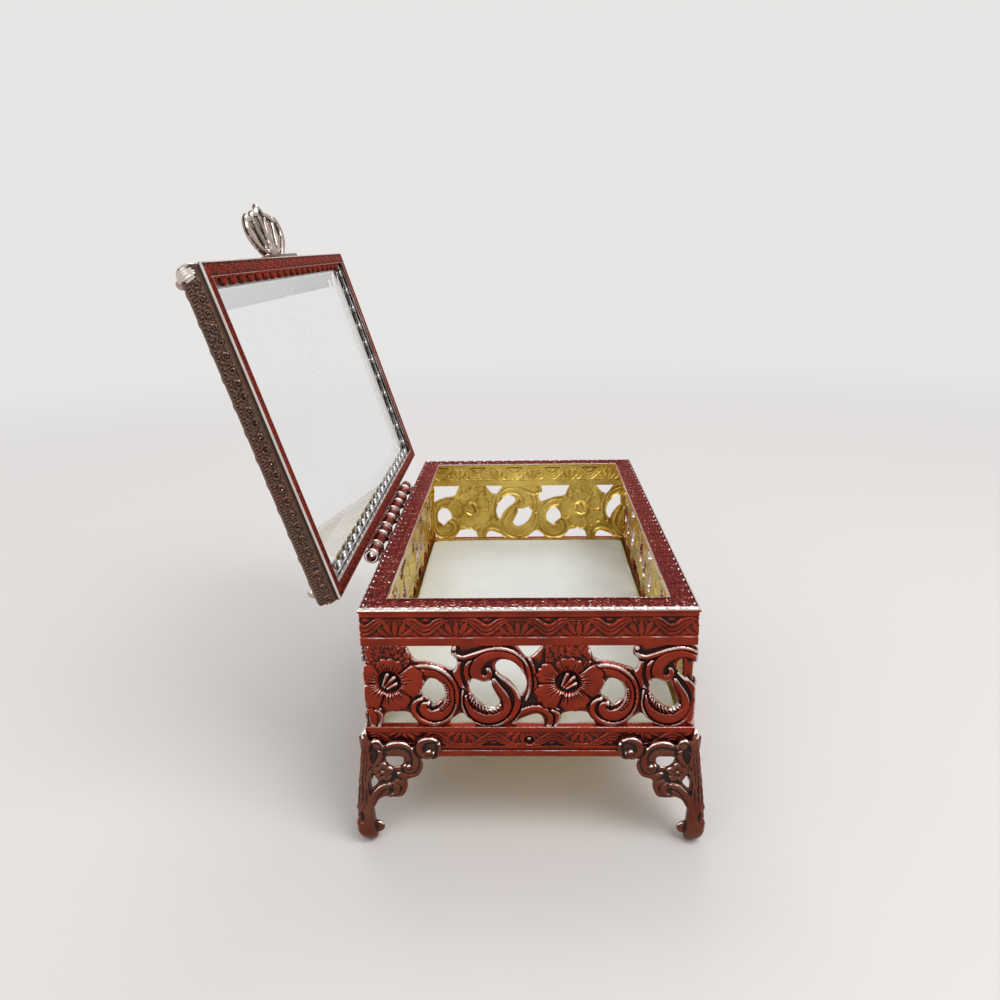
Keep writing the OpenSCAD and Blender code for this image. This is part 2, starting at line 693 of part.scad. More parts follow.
module pull_rivets() {
    color("#c9a878") swung_open() pull_rivet_places() {
        translate([0, 0, -lid_wall]) cylinder(r = pull_rivet_r, h = lid_wall + pull_plate_t);
        translate([0, 0, pull_plate_t])
            cylinder(r1 = pull_rivet_head_r, r2 = pull_rivet_head_r * dome_share, h = pull_rivet_head_h);
    }
}

rim(front);  // rim_front
rim(right);  // rim_right
rim(back);  // rim_back
rim(left);  // rim_left
panel(front);  // panel_front
panel(right);  // panel_right
panel(back);  // panel_back
panel(left);  // panel_left
lower_rail(front);  // lower_rail_front
lower_rail(right);  // lower_rail_right
lower_rail(back);  // lower_rail_back
lower_rail(left);  // lower_rail_left
foot(-1, -1);  // foot_front_left
foot(1, -1);  // foot_front_right
foot(1, 1);  // foot_back_right
foot(-1, 1);  // foot_back_left
base_pan();
base_rivets();
pad();
hinge_leaf_box();
hinge_leaf_lid();
hinge_pin();
lid_rail(front);  // lid_rail_front
lid_rail(right);  // lid_rail_right
lid_rail(back);  // lid_rail_back
lid_rail(left);  // lid_rail_left
scallops(front);  // scallops_front
scallops(right);  // scallops_right
scallops(back);  // scallops_back
scallops(left);  // scallops_left
glass_pane();
lid_beads();
pull();
pull_rivets();
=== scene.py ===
"""Looks of a small footed casket box: carved gilt walls, a glass lid on a knuckle hinge and a cloth pad.

Lengths in the drawing code are in millimetres. Every mesh is written in metres, at its place in the frame.
Walls are numbered in turn: front 0, right 1, back 2, left 3. The lid is drawn shut, then swung to its stop.
"""

import json
import math
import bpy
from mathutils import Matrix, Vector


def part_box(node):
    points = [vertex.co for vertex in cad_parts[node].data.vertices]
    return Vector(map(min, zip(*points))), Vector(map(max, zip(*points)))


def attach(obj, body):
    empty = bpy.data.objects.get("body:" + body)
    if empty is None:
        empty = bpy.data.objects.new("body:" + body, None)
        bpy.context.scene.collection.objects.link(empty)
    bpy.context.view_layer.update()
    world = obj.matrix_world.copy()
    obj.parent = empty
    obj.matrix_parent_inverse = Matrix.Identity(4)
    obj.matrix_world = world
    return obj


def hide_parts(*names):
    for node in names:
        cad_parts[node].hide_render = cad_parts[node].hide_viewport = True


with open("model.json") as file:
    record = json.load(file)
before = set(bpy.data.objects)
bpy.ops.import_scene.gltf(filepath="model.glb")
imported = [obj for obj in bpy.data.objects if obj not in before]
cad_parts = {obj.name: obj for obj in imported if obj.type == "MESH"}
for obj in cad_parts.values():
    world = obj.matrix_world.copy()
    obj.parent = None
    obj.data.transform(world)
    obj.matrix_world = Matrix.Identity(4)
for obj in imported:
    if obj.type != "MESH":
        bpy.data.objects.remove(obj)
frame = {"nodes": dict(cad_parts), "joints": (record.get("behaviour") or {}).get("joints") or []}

from types import SimpleNamespace

import bpy
import numpy as np
from mathutils import Matrix, Vector

bl_info = {
    "name": "Glass casket box",
    "version": (1, 0, 0),
    "blender": (4, 5, 0),
    "location": "3D View > Sidebar > Casket",
    "description": "Carved metal, glass and cloth for the packed casket box",
    "category": "Object",
}

WALLS = ("front", "right", "back", "left")
CORNERS = {"front_left": (-1, -1), "front_right": (1, -1), "back_right": (1, 1), "back_left": (-1, 1)}


# A metre's share that one millimetre is, and how near two points are, in metres, to be made one
MM = 0.001
MERGE = 0.000001

# Sides of a piece, which are the places of their finishes in its list
OUTSIDE = 0
INSIDE = 1
FLANGE = 2
EDGE = 3


def node_size(node, axis):
    """Length of a frame node along an axis, in metres."""
    low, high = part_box(node)
    return high[axis] - low[axis]


def node_end(node, axis, end):
    """Lowest (0) or highest (1) coordinate of a frame node along an axis, in metres."""
    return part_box(node)[end][axis]


# Sizes and colours that a user may change


def length(name, about, default):
    return bpy.props.FloatProperty(name=name, description=about, default=default, unit="LENGTH", precision=5)


def colour(name, about, default):
    return bpy.props.FloatVectorProperty(
        name=name, description=about, default=default, subtype="COLOR", size=3, min=0.0, max=1.0
    )


class CasketSizes(bpy.types.PropertyGroup):
    box_length: length("Box length", "Length over the rim", node_size("rim_front", 0))
    box_width: length("Box width", "Width over the rim", node_size("rim_left", 1))
    rim_top: length("Rim top", "Height of the rim's top", node_end("rim_front", 2, 1))
    rim_foot: length("Rim foot", "Height of the rim's lower edge", node_end("rim_front", 2, 0))
    panel_foot: length("Panel foot", "Height of the panels' lower edge", node_end("panel_front", 2, 0))
    rail_foot: length("Rail foot", "Height of the lower rail's underside", node_end("lower_rail_front", 2, 0))
    repeat: length("Repeat", "Length of one repeat of the panel ornament", 0.0367)
    panel_step: length("Panel step", "Distance between points on the panels", 0.0002)
    end_step: length("End panel step", "Distance between points on the short panels", 0.00016)
    rail_step: length("Rail step", "Distance between points along the rails", 0.00024)
    foot_voxel: length("Foot voxel", "Size of the voxels that join a foot", 0.00018)
    lid_thickness: length("Lid thickness", "Thickness of the lid frame", 0.005)
    lid_gap: length("Lid gap", "Gap between the shut lid and the rim", 0.00015)
    hinge_out: length("Hinge distance", "Distance of the hinge axis from the rim's edge", 0.0021)
    pad_crown: length("Pad crown", "Rise of the pad's middle over its edge", 0.0009)


class CasketColours(bpy.types.PropertyGroup):
    # Painted reflection: the red in the gilt and the deep gilt is a red surrounding reflected in dark antique
    # gold, painted into the colour
    gilt: colour("Gilt", "Antique gilt of the walls", (0.3, 0.04, 0.02))
    gilt_deep_red_reflection: colour("Deep gilt", "Redder patches of the antique gilt", (0.15, 0.022, 0.014))
    # Painted reflection: the maroon is the same red reflection, painted into the colour of the flange and the
    # hinge
    maroon: colour("Maroon", "Dark maroon gilt of the flange and the hinge", (0.1, 0.016, 0.019))
    patina: colour("Patina", "Dark finish in the carving", (0.012, 0.008, 0.006))
    # The pale edge colour is wear and painted highlight together: rubbed crests, edges that face up, the
    # rim's top edge, the lid's side lips and the corner knobs
    worn_and_highlight: colour("Worn edge", "Pale metal on rubbed edges", (0.76, 0.72, 0.68))
    inner: colour("Inner gilt", "Bright gilt inside the box", (0.86, 0.62, 0.16))
    inner_worn: colour("Rubbed inner gilt", "Pale gold on the inner gilt's edges", (0.92, 0.82, 0.5))
    inner_deep: colour("Deep inner gilt", "Darker tone of the inner gilt", (0.5, 0.33, 0.06))
    brown: colour("Brown gilt", "Browner gilt of the feet", (0.17, 0.07, 0.045))
    bronze: colour("Bronze", "Dark bronze of the lid frame", (0.11, 0.075, 0.053))
    pale: colour("Pale metal", "Pale metal of the pull and of the lid's beads", (0.58, 0.5, 0.44))
    silver: colour("Dull silver", "Dull metal of the teeth round the glass", (0.4, 0.385, 0.4))
    cloth: colour("Cloth", "Cloth of the pad", (0.86, 0.9, 0.885))
    glass: colour("Glass", "Tint of the glass", (0.95, 0.97, 0.97))
    floor: colour("Floor", "Floor and backdrop", (0.8, 0.78, 0.77))


def sizes():
    """The user's sizes in millimetres, with the heights and the hinge place that follow from them."""
    group = bpy.context.scene.casket_sizes
    s = SimpleNamespace(**{name: getattr(group, name) / MM for name in CasketSizes.__annotations__})
    s.lid_foot = s.rim_top + s.lid_gap
    s.lid_top = s.lid_foot + s.lid_thickness
    s.hinge_y = s.box_width / 2 + s.hinge_out
    return s


def colours():
    return bpy.context.scene.casket_colours


# Objects, selection and meshes


def nothing_selected():
    if bpy.context.object and bpy.context.object.mode != "OBJECT":
        bpy.ops.object.mode_set(mode="OBJECT")
    bpy.ops.object.select_all(action="DESELECT")


def take(*pieces):
    """Selects these objects alone and makes the first active."""
    nothing_selected()
    for piece in pieces:
        piece.select_set(True)
    bpy.context.view_layer.objects.active = pieces[0]


def named(name):
    piece = bpy.context.object
    piece.name = name
    piece.data.name = name
    return piece


def fresh(name, add, **settings):
    """A new object of this name, from an operator that adds one."""
    nothing_selected()
    add(**settings)
    return named(name)


def read(items, what, width=1, kind=float):
    """A value of every item in a mesh's list, or a row of values where width is above 1."""
    values = np.empty(len(items) * width, kind)
    items.foreach_get(what, values)
    return values.reshape(-1, width) if width > 1 else values


def store(piece, name, values):
    """Keeps a number for every point of the mesh."""
    layer = piece.data.attributes.new(name, "FLOAT", "POINT")
    layer.data.foreach_set("value", np.asarray(values, np.float32))


def taken(piece, name):
    """The numbers that store kept, which leave the mesh."""
    layers = piece.data.attributes
    values = read(layers[name].data, "value")
    layers.remove(layers[name])
    return values


def set_sides(piece, sides):
    """Gives every face its side: OUTSIDE, INSIDE, FLANGE or EDGE."""
    piece.data.polygons.foreach_set("material_index", np.asarray(sides, np.int32))


def points_of(piece):
    """The mesh's points in millimetres."""
    return read(piece.data.vertices, "co", 3) / MM


def set_points(piece, points):
    piece.data.vertices.foreach_set("co", (np.asarray(points) * MM).ravel())
    piece.data.update()


def select_faces(piece, mask):
    """Leaves exactly these faces selected, in edit mode."""
    take(piece)
    bpy.ops.object.mode_set(mode="EDIT")
    bpy.ops.mesh.select_mode(type="FACE")
    bpy.ops.mesh.select_all(action="DESELECT")
    bpy.ops.object.mode_set(mode="OBJECT")
    piece.data.polygons.foreach_set("select", np.asarray(mask, bool))
    bpy.ops.object.mode_set(mode="EDIT")


def edit_all(piece):
    take(piece)
    bpy.ops.object.mode_set(mode="EDIT")
    bpy.ops.mesh.select_all(action="SELECT")


def joined(name, pieces):
    """One object of these, in the active one's place."""
    take(*pieces)
    if len(pieces) > 1:
        bpy.ops.object.join()
    return named(name)


def apply_modifier(piece, kind, **settings):
    take(piece)
    bpy.ops.object.modifier_add(type=kind)
    modifier = piece.modifiers[-1]
    for key, value in settings.items():
        setattr(modifier, key, value)
    bpy.ops.object.modifier_apply(modifier=modifier.name)


def set_place(piece):
    """Writes the object's own place, turn and size into its mesh."""
    take(piece)
    bpy.ops.object.transform_apply(location=True, rotation=True, scale=True)


def smooth(piece, degrees=40):
    take(piece)
    bpy.ops.object.shade_smooth_by_angle(angle=math.radians(degrees))


def outward(piece):
    edit_all(piece)
    bpy.ops.mesh.normals_make_consistent(inside=False)
    bpy.ops.object.mode_set(mode="OBJECT")


def rolled_up(piece):
    """Closes the seam and the ends of a grid that was bent to a tube, and turns its faces outwards."""
    edit_all(piece)
    bpy.ops.mesh.remove_doubles(threshold=MERGE)
    bpy.ops.mesh.fill_holes(sides=0)
    bpy.ops.mesh.normals_make_consistent(inside=False)
    bpy.ops.object.mode_set(mode="OBJECT")
    return piece


def neighbours(mesh):
    """Both ways along every edge: the points left, the points reached, and each point's number of edges."""
    ends = read(mesh.edges, "vertices", 2, np.int64)
    start = np.concatenate([ends[:, 0], ends[:, 1]])
    other = np.concatenate([ends[:, 1], ends[:, 0]])
    return start, other, np.maximum(np.bincount(start, minlength=len(mesh.vertices)), 1)


# Wear and painted top highlight: edges longer than this count for less, pale edges are this weak on what
# faces down, and what faces up is painted this much paler, as a highlight from above
FINE_EDGE = 0.45
UNLIT_EDGE_SHARE = 0.28
TOP_HIGHLIGHT = 0.2
SUNK_SHARE = 0.3


def mark_hollows_and_top_light(piece, rounds=10, scale=0.06, least=-2.0):
    """Stores on each point how deep it lies in a hollow, above 0, or how far it stands out, below 0. Points
    that face up are pushed further below 0, a painted highlight from light above.
    """
    start, other, near = neighbours(piece.data)
    normals = read(piece.data.vertices, "normal", 3)
    at = points_of(piece)
    lengths = np.linalg.norm(at[start] - at[other], axis=1)
    reach = np.bincount(start, lengths, len(at)) / near
    moved = at
    for _ in range(rounds):
        moved = np.stack([np.bincount(start, moved[other, k], len(at)) / near for k in range(3)], -1)
    hollow_and_top_light = ((moved - at) * normals).sum(1) / scale / np.maximum(reach / FINE_EDGE, 1) ** 2
    if "sunk" in piece.data.attributes:
        hollow_and_top_light = hollow_and_top_light + SUNK_SHARE * taken(piece, "sunk")
    # Painted highlight: standing-out points count mostly where they face up, and up-facing points are made
    # paler, as if lit from above
    top_lit = ease(normals[:, 2], 0.05, 0.6)
    hollow_and_top_light = np.where(hollow_and_top_light < 0, hollow_and_top_light * (UNLIT_EDGE_SHARE + (1 - UNLIT_EDGE_SHARE) * top_lit), hollow_and_top_light)
    hollow_and_top_light = hollow_and_top_light - TOP_HIGHLIGHT * top_lit * (hollow_and_top_light < 0.3)
    store(piece, "hollow_and_top_light", np.clip(hollow_and_top_light, least, 2))


def finish_piece(piece, body, slot, finishes, replaces=(), angle=40, **wear_and_highlight):
    """Shading, wear with painted top highlights, finishes and place on a body for a piece whose mesh is
    ready.
    """
    smooth(piece, angle)
    mark_hollows_and_top_light(piece, **wear_and_highlight)
    sides = read(piece.data.polygons, "material_index", kind=np.int32)
    piece.data.materials.clear()
    for finish in finishes:
        piece.data.materials.append(material(finish))
    set_sides(piece, np.minimum(sides, len(finishes) - 1))
    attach(piece, body)
    if replaces:
        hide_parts(*replaces)


def dress(node, finish):
    """Puts a finish on a solid of the frame in place of its own."""
    solid = frame["nodes"][node]
    solid.data.materials.clear()
    solid.data.materials.append(material(finish))


# Lines, distances and carving on a flat sheet


def smooth_line(points, closed=False, steps=5):
    """A smooth line through the points."""
    p = np.array(points, float)
    p = np.vstack([p[-1:], p, p[:2]]) if closed else np.vstack([p[:1], p, p[-1:]])
    t = (np.arange(steps) / steps)[:, None]
    parts = []
    for a, b, c, d in zip(p[:-3], p[1:-2], p[2:-1], p[3:]):
        bend = (2 * a - 5 * b + 4 * c - d) * t**2 / 2
        twist = (3 * (b - c) + d - a) * t**3 / 2
        parts.append(b + (c - a) * t / 2 + bend + twist)
    line = np.vstack(parts)
    return np.vstack([line, line[:1]]) if closed else np.vstack([line, p[-1:]])


def nearest(line, u, v):
    """For each point: distance to the line, side (1 on its left), share of its length, nearest place."""
    best = np.full(u.shape, 1e9)
    side = np.ones(u.shape)
    share = np.zeros(u.shape)
    place = np.zeros((2,) + u.shape)
    steps = np.diff(line, axis=0)
    lengths = np.hypot(steps[:, 0], steps[:, 1])
    total = lengths.sum()
    done = 0.0
    for (a, b), (du, dv), part in zip(line[:-1], steps, lengths):
        if part < 1e-9:
            continue
        t = np.clip(((u - a) * du + (v - b) * dv) / part**2, 0, 1)
        pu = a + t * du
        pv = b + t * dv
        gap = (u - pu) ** 2 + (v - pv) ** 2
        closer = gap < best
        best[closer] = gap[closer]
        side[closer] = np.sign(du * (v - b) - dv * (u - a))[closer]
        share[closer] = ((done + t * part) / total)[closer]
        place[0][closer] = pu[closer]
        place[1][closer] = pv[closer]
        done += part
    return np.sqrt(best), side, share, place


def inside(line, u, v):
    """True for each point within the closed line."""
    within = np.zeros(u.shape, bool)
    for (a, b), (c, d) in zip(line[:-1], line[1:]):
        if b == d:
            continue
        crosses = (b > v) != (d > v)
        within ^= crosses & (u < (c - a) * (v - b) / (d - b) + a)
    return within


def ease(value, low, high):
    """0 below low, 1 above high, with a soft step between."""
    t = np.clip((value - low) / (high - low), 0, 1)
    return t * t * (3 - 2 * t)


def dome(q):
    """A half round over its middle: 1 where q is 0, and 0 from 1 on."""
    return np.sqrt(np.clip(1 - q**2, 0, 1))


def ridge(q):
    """A soft ridge: 1 where q is 0, fading on both sides."""
    return np.exp(-(q**2))


def chance(a, b, first, second):
    """A number from 0 to 1 for every cell a, b of a grid, the same each time."""
    value = np.sin(a * first + b * second) * 43758.5453
    return value - np.floor(value)


def scattered(x, y, pitch):
    """Distance from each point to the nearest of a field of scattered points, in pitches."""
    gx = np.floor(x / pitch)
    gy = np.floor(y / pitch)
    best = np.full(np.shape(x), 9.0)
    for i in (-1, 0, 1):
        for j in (-1, 0, 1):
            a = gx + i
            b = gy + j
            px = a + 0.5 + 0.38 * np.cos(2 * np.pi * chance(a, b, 127.1, 311.7))
            py = b + 0.5 + 0.38 * np.sin(2 * np.pi * chance(a, b, 269.5, 183.3))
            best = np.minimum(best, np.hypot(x / pitch - px, y / pitch - py))
    return best


class Carving:
    """Heights over the points of a sheet, to which bands, petals and beads are added in turn."""

    def __init__(self, u, v, ground):
        self.u = u
        self.v = v
        self.h = np.full(u.shape, float(ground))
        self.ground = float(ground)

    def close_to(self, line, reach):
        low = line.min(0) - reach
        high = line.max(0) + reach
        return np.flatnonzero(
            (self.u > low[0]) & (self.u < high[0]) & (self.v > low[1]) & (self.v < high[1])
        )

    def band(self, points, widths, height=0.3, shift=0.0, ribs=0.0, depth=0.1, slant=0.0, trench=0.28,
             base=0.0):
        """A band along the points that swells from base to height. ribs, depth and slant are the pitch, depth
        and lean of its cross grooves, and trench is the width of the groove beside it."""
        line = smooth_line(points) + np.array([shift, 0.0])
        reach = max(widths) / 2 + trench
        at = self.close_to(line, reach)
        if not len(at):
            return
        gap, side, share, _ = nearest(line, self.u[at], self.v[at])
        knots = np.linspace(0, 1, len(widths))
        half = np.interp(share, knots, widths) / 2
        q = gap / half
        long = np.hypot(*np.diff(line, axis=0).T).sum()
        body = base + (height - base) * dome(q)
        if ribs:
            turn = 2 * np.pi * (share * long + slant * side * gap) / ribs
            body = body - depth * (0.5 + 0.5 * np.cos(turn)) ** 2 * ease(q, -0.2, 0.4)
        beside = (q >= 1) & (gap < half + trench)
        within = q < 1
        self.h[at[beside]] = np.minimum(self.h[at[beside]], self.ground)
        self.h[at[within]] = np.maximum(min(self.ground + 0.08, base), body[within])

    def bead(self, u, v, radius, height):
        gap = np.hypot(self.u - u, self.v - v)
        near = gap < radius
        self.h[(gap >= radius) & (gap < radius + 0.2)] = self.ground
        self.h[near] = height * dome(gap[near] / radius)


# The pierced sheet: a grid cut along smooth outlines, carved, and given a back


def cut_sheet(name, low, high, step, outer, holes):
    """A flat grid from low to high, cut to the outer line and round the holes. Returns it with each point's
    distance from the cut edges."""
    wide = high[0] - low[0]
    tall = high[1] - low[1]
    piece = fresh(name, bpy.ops.mesh.primitive_grid_add, x_subdivisions=int(round(wide / step)),
                  y_subdivisions=int(round(tall / step)), size=1)
    at = points_of(piece) * MM + 0.5
    u = low[0] + at[:, 0] * wide
    v = low[1] + at[:, 1] * tall
    edge = np.full(u.shape, 1e9)
    place = np.stack([u, v])
    lines = [(line, 1) for line in holes] + ([(outer, -1)] if outer is not None else [])
    for line, sign in lines:
        reach = 1.2 if sign > 0 else 1e6
        box_low = line.min(0) - reach
        box_high = line.max(0) + reach
        close = np.flatnonzero((u > box_low[0]) & (u < box_high[0]) & (v > box_low[1]) & (v < box_high[1]))
        if not len(close):
            continue
        gap, _, _, near = nearest(line, u[close], v[close])
        signed = np.where(inside(line, u[close], v[close]), -gap, gap) * sign
        closer = signed < edge[close]
        moved = close[closer]
        edge[moved] = signed[closer]
        place[:, moved] = near[:, closer]
    on_line = np.abs(edge) < 0.53 * step
    u = np.where(on_line, place[0], u)
    v = np.where(on_line, place[1], v)
    edge = np.where(on_line, 0, edge)
    set_points(piece, np.stack([u, v, np.zeros_like(u)], -1))
    store(piece, "edge", edge)
    signs = np.sign(edge[read(piece.data.polygons, "vertices", 4, np.int64)])
    mixed = (signs.max(1) > 0) & (signs.min(1) < 0)
    for first, method in ((0, "FIXED"), (1, "FIXED_ALTERNATE")):
        chosen = np.zeros(len(piece.data.polygons), bool)
        chosen[: len(mixed)] = mixed & (signs[:, first] == 0) & (signs[:, first + 2] == 0)
        select_faces(piece, chosen)
        bpy.ops.mesh.quads_convert_to_tris(quad_method=method, ngon_method="BEAUTY")
        bpy.ops.object.mode_set(mode="OBJECT")
    loops = read(piece.data.loops, "vertex_index", kind=np.int64)
    starts = read(piece.data.polygons, "loop_start", kind=np.int64)
    select_faces(piece, np.add.reduceat(edge[loops], starts) <= 0)
    bpy.ops.mesh.delete(type="FACE")
    bpy.ops.mesh.select_mode(type="VERT")
    bpy.ops.mesh.select_all(action="DESELECT")
    bpy.ops.mesh.select_loose()
    bpy.ops.mesh.delete(type="VERT")
    bpy.ops.object.mode_set(mode="OBJECT")
    return piece


def evened(piece, values, rounds):
    """The values, each averaged with its neighbours on the mesh, this many times."""
    start, other, near = neighbours(piece.data)
    for _ in range(rounds):
        values = (values + np.bincount(start, values[other], len(values)) / near) / 2
    return values


def carved_sheet(piece, carve, thickness, face=0.0, back=0.4, soften=0.3, twin=False):
    """Carves a cut sheet and gives it a back, which follows the face in a softer form. A twin mirrors it."""
    at = points_of(piece)
    edge = taken(piece, "edge")
    count = len(at)
    faces = len(piece.data.polygons)
    height = carve(at[:, 0], at[:, 1]) - 0.55 * soften * (1 - ease(edge, 0, soften))
    gentle = evened(piece, height, 8)
    apply_modifier(piece, "SOLIDIFY", thickness=thickness * MM, offset=-1.0, use_rim=True)
    sides = np.full(len(piece.data.polygons), OUTSIDE)
    sides[faces: 2 * faces] = INSIDE
    set_sides(piece, sides)
    flat = points_of(piece)
    flat[:, :2] = np.concatenate([at[:, :2], at[:, :2]])
    flat[:count, 2] = face + height
    flat[count:, 2] = -(face + height) if twin else face - thickness + back * gentle
    set_points(piece, flat)
    low = np.clip(-height / 0.42, 0, 1)
    store(piece, "sunk", np.concatenate([low, low if twin else 0 * low]))


# Walls


def wall_length(wall):
    return sizes().box_width if wall % 2 else sizes().box_length


def on_wall(wall, x, depth, z):
    """Points in the frame's place for a wall: x to the right seen from outside, depth inwards."""
    turn = math.radians(90 * wall)
    y = depth - wall_length(wall + 1) / 2
    return np.stack([x * math.cos(turn) - y * math.sin(turn), x * math.sin(turn) + y * math.cos(turn), z], -1)


def swing(piece):
    """Turns a piece of the lid from shut to its open stop."""
    s = sizes()
    axis = Vector((0, s.hinge_y, s.rim_top)) * MM
    angle = -math.radians(frame["joints"][0]["range_deg"][1])
    turn = Matrix.Rotation(angle, 4, "X")
    piece.data.transform(Matrix.Translation(axis) @ turn @ Matrix.Translation(-axis))
    piece.data.update()
    return piece


def rail(name, wall, corners):
    """A mitred rail. corners lists its section in turn: depth, height, spacing up to the next corner, side,
    and the carving of the strip up to there, if it has one."""
    half = wall_length(wall) / 2
    section = []
    ring = [corner[:2] for corner in corners]
    turn = sum(a[0] * b[1] - b[0] * a[1] for a, b in zip(ring, ring[1:] + ring[:1]))
    for (depth, z, gap, side, *carved), (next_depth, next_z) in zip(corners, ring[1:] + ring[:1]):
        run = math.hypot(next_depth - depth, next_z - z)
        out = np.array([next_z - z, depth - next_depth]) / run * math.copysign(1, turn)
        parts = max(1, round(run / gap))
        for k in range(parts):
            t = k / parts
            at = (depth + t * (next_depth - depth), z + t * (next_z - z))
            section.append((at, out, t * run, run, carved, side))
    along = round(2 * half / sizes().rail_step)
    piece = fresh(name, bpy.ops.mesh.primitive_grid_add, x_subdivisions=along, y_subdivisions=len(section),
                  size=2)
    share = points_of(piece)[: along + 1, 0] * MM
    rows = []
    for (depth, z), out, s, run, carved, _ in section:
        height = np.zeros_like(share)
        for carve in carved:
            height = carve(share * (half - depth), s, run) * ease(s, 0, 0.2) * ease(run - s, 0, 0.2)
        depths = depth + height * out[0]
        rows.append(on_wall(wall, share * (half - depths), depths, z + height * out[1]))
    set_points(piece, np.concatenate(rows + rows[:1]))
    set_sides(piece, np.repeat([entry[-1] for entry in section], along))
    return rolled_up(piece)


# Carvings of the rails


# The wave as drawn: its repeat, its height before it is fitted to a strip, and the leaves of its palmette
WAVE_PITCH = 12.3
WAVE_TALL = 5.4
WAVE_LEAVES = (
    (((0.6, 0.1), (1.9, 0.55), (2.9, 1.2), (3.5, 2.0)), (0.5, 0.9, 0.9, 0.4), 0.02),
    (((0.2, 0.15), (1.0, 1.0), (1.6, 2.0), (2.1, 3.1)), (0.5, 1.0, 1.2, 0.5), 0.09),
    (((0, 3.6), (0, 2.4), (0, 1.1), (0, 0.05)), (0.4, 1.0, 1.3, 0.5), 0.12),
)


def running_wave(x, s, tall, start, flip=False):
    """Swags of three strands with a drop over each, hung from a fillet, and a palmette between them."""
    up = (1 - s / tall if flip else s / tall) * WAVE_TALL
    c = np.abs((x - start + WAVE_PITCH / 2) % WAVE_PITCH - WAVE_PITCH / 2)
    rise = ease(c, 0.1, 5.0)
    quick = 1 - np.exp(-((c / 1.55) ** 2.5))
    edges = []
    for j, share in enumerate((0.0, 0.2, 0.55, 1.0)):
        low = 0.1 + 0.9 * j
        edges.append(low + (3.5 + 0.22 * j - low) * ((1 - share) * rise + share * quick))
    leaves = Carving(WAVE_PITCH / 2 - c, np.full(c.shape, up), -0.15)
    for points, widths, height in WAVE_LEAVES:
        leaves.band(points, widths, height, trench=0.12, base=-0.14)
    height = leaves.h - 0.06 * ridge(leaves.u / 0.1)
    for low, high in zip(edges[:-1], edges[1:]):
        across = (up - low) / (high - low)
        height = np.where((across >= 0) & (across <= 1), 0.3 * dome(2 * across - 1) - 0.19, height)
    drop = 0.2 * np.clip(1 - (c / 0.7) ** 2 - ((up - 3.6) / 0.4) ** 2, 0, 1)
    height = np.where(up > edges[-1], drop - 0.34, height)
    lip = ease(up, 4.12, 4.3)
    under = 0.25 * (1 - ease(up, 0.05, 0.3)) * ease(c, 2.2, 3.0)
    return height * (1 - lip) + 0.02 * lip - under


def vine(x, s, wide, start=0.0, pitch=6.2):
    """A running stem with a small rosette between two leaves at every turn, on a stippled ground."""
    sway = 0.2 * wide
    height = 0.12 * ridge((s - wide / 2 - sway * np.sin(2 * np.pi * (x - start) / pitch)) / 0.24)
    cell = (x - start) % pitch
    for centre, sign in ((0.25, -1), (0.75, 1), (-0.25, 1), (1.25, -1)):
        du = cell - centre * pitch
        dv = s - wide / 2 - sign * sway
        r = np.hypot(du, dv)
        petals = 0.95 + 0.2 * np.cos(5 * np.arctan2(dv, du))
        height = np.maximum(height, 0.17 * dome(r / petals) - 0.14 * ridge(r / 0.2))
        for way in (-1, 1):
            a = (du - way * 1.45) * 0.8 + (dv + sign * 0.35) * 0.6 * way * sign
            b = (dv + sign * 0.35) * 0.8 - (du - way * 1.45) * 0.6 * way * sign
            leaf = dome(np.hypot(a / 0.95, b / 0.42))
            height = np.maximum(height, 0.14 * leaf - 0.05 * ridge(b / 0.08) * (leaf > 0))
    return np.where(height > 0.015, height, crumbs(x, s, 0.62, 0.05, 1.6)) - 0.05


def crumbs(x, s, pitch, height, fall=1.7):
    """Small rounded lumps close together, which fall away by this much of their height per pitch."""
    return height * (1 - fall * scattered(x, s, pitch))


def curl_row(x, s, wide, pitch):
    """Pairs of small spirals on a crumbled ground."""
    cell = x % pitch - pitch / 2
    height = crumbs(x, s, 0.5, 0.12) - 0.12
    for middle, way in ((-1.3, 1), (1.3, -1)):
        du = (cell - middle) * way
        dv = s - wide / 2
        r = np.hypot(du, dv)
        turn = np.arctan2(dv, du) / (2 * np.pi)
        curl = 0.02 + 0.16 * np.cos(2 * np.pi * (r / 0.56 - turn))
        share = 1 - ease(r, 0.78, 0.98)
        height = height * (1 - share) + curl * share
    return height


# Panels: one repeat of the ornament is drawn from a flower's centre line and the panel's foot

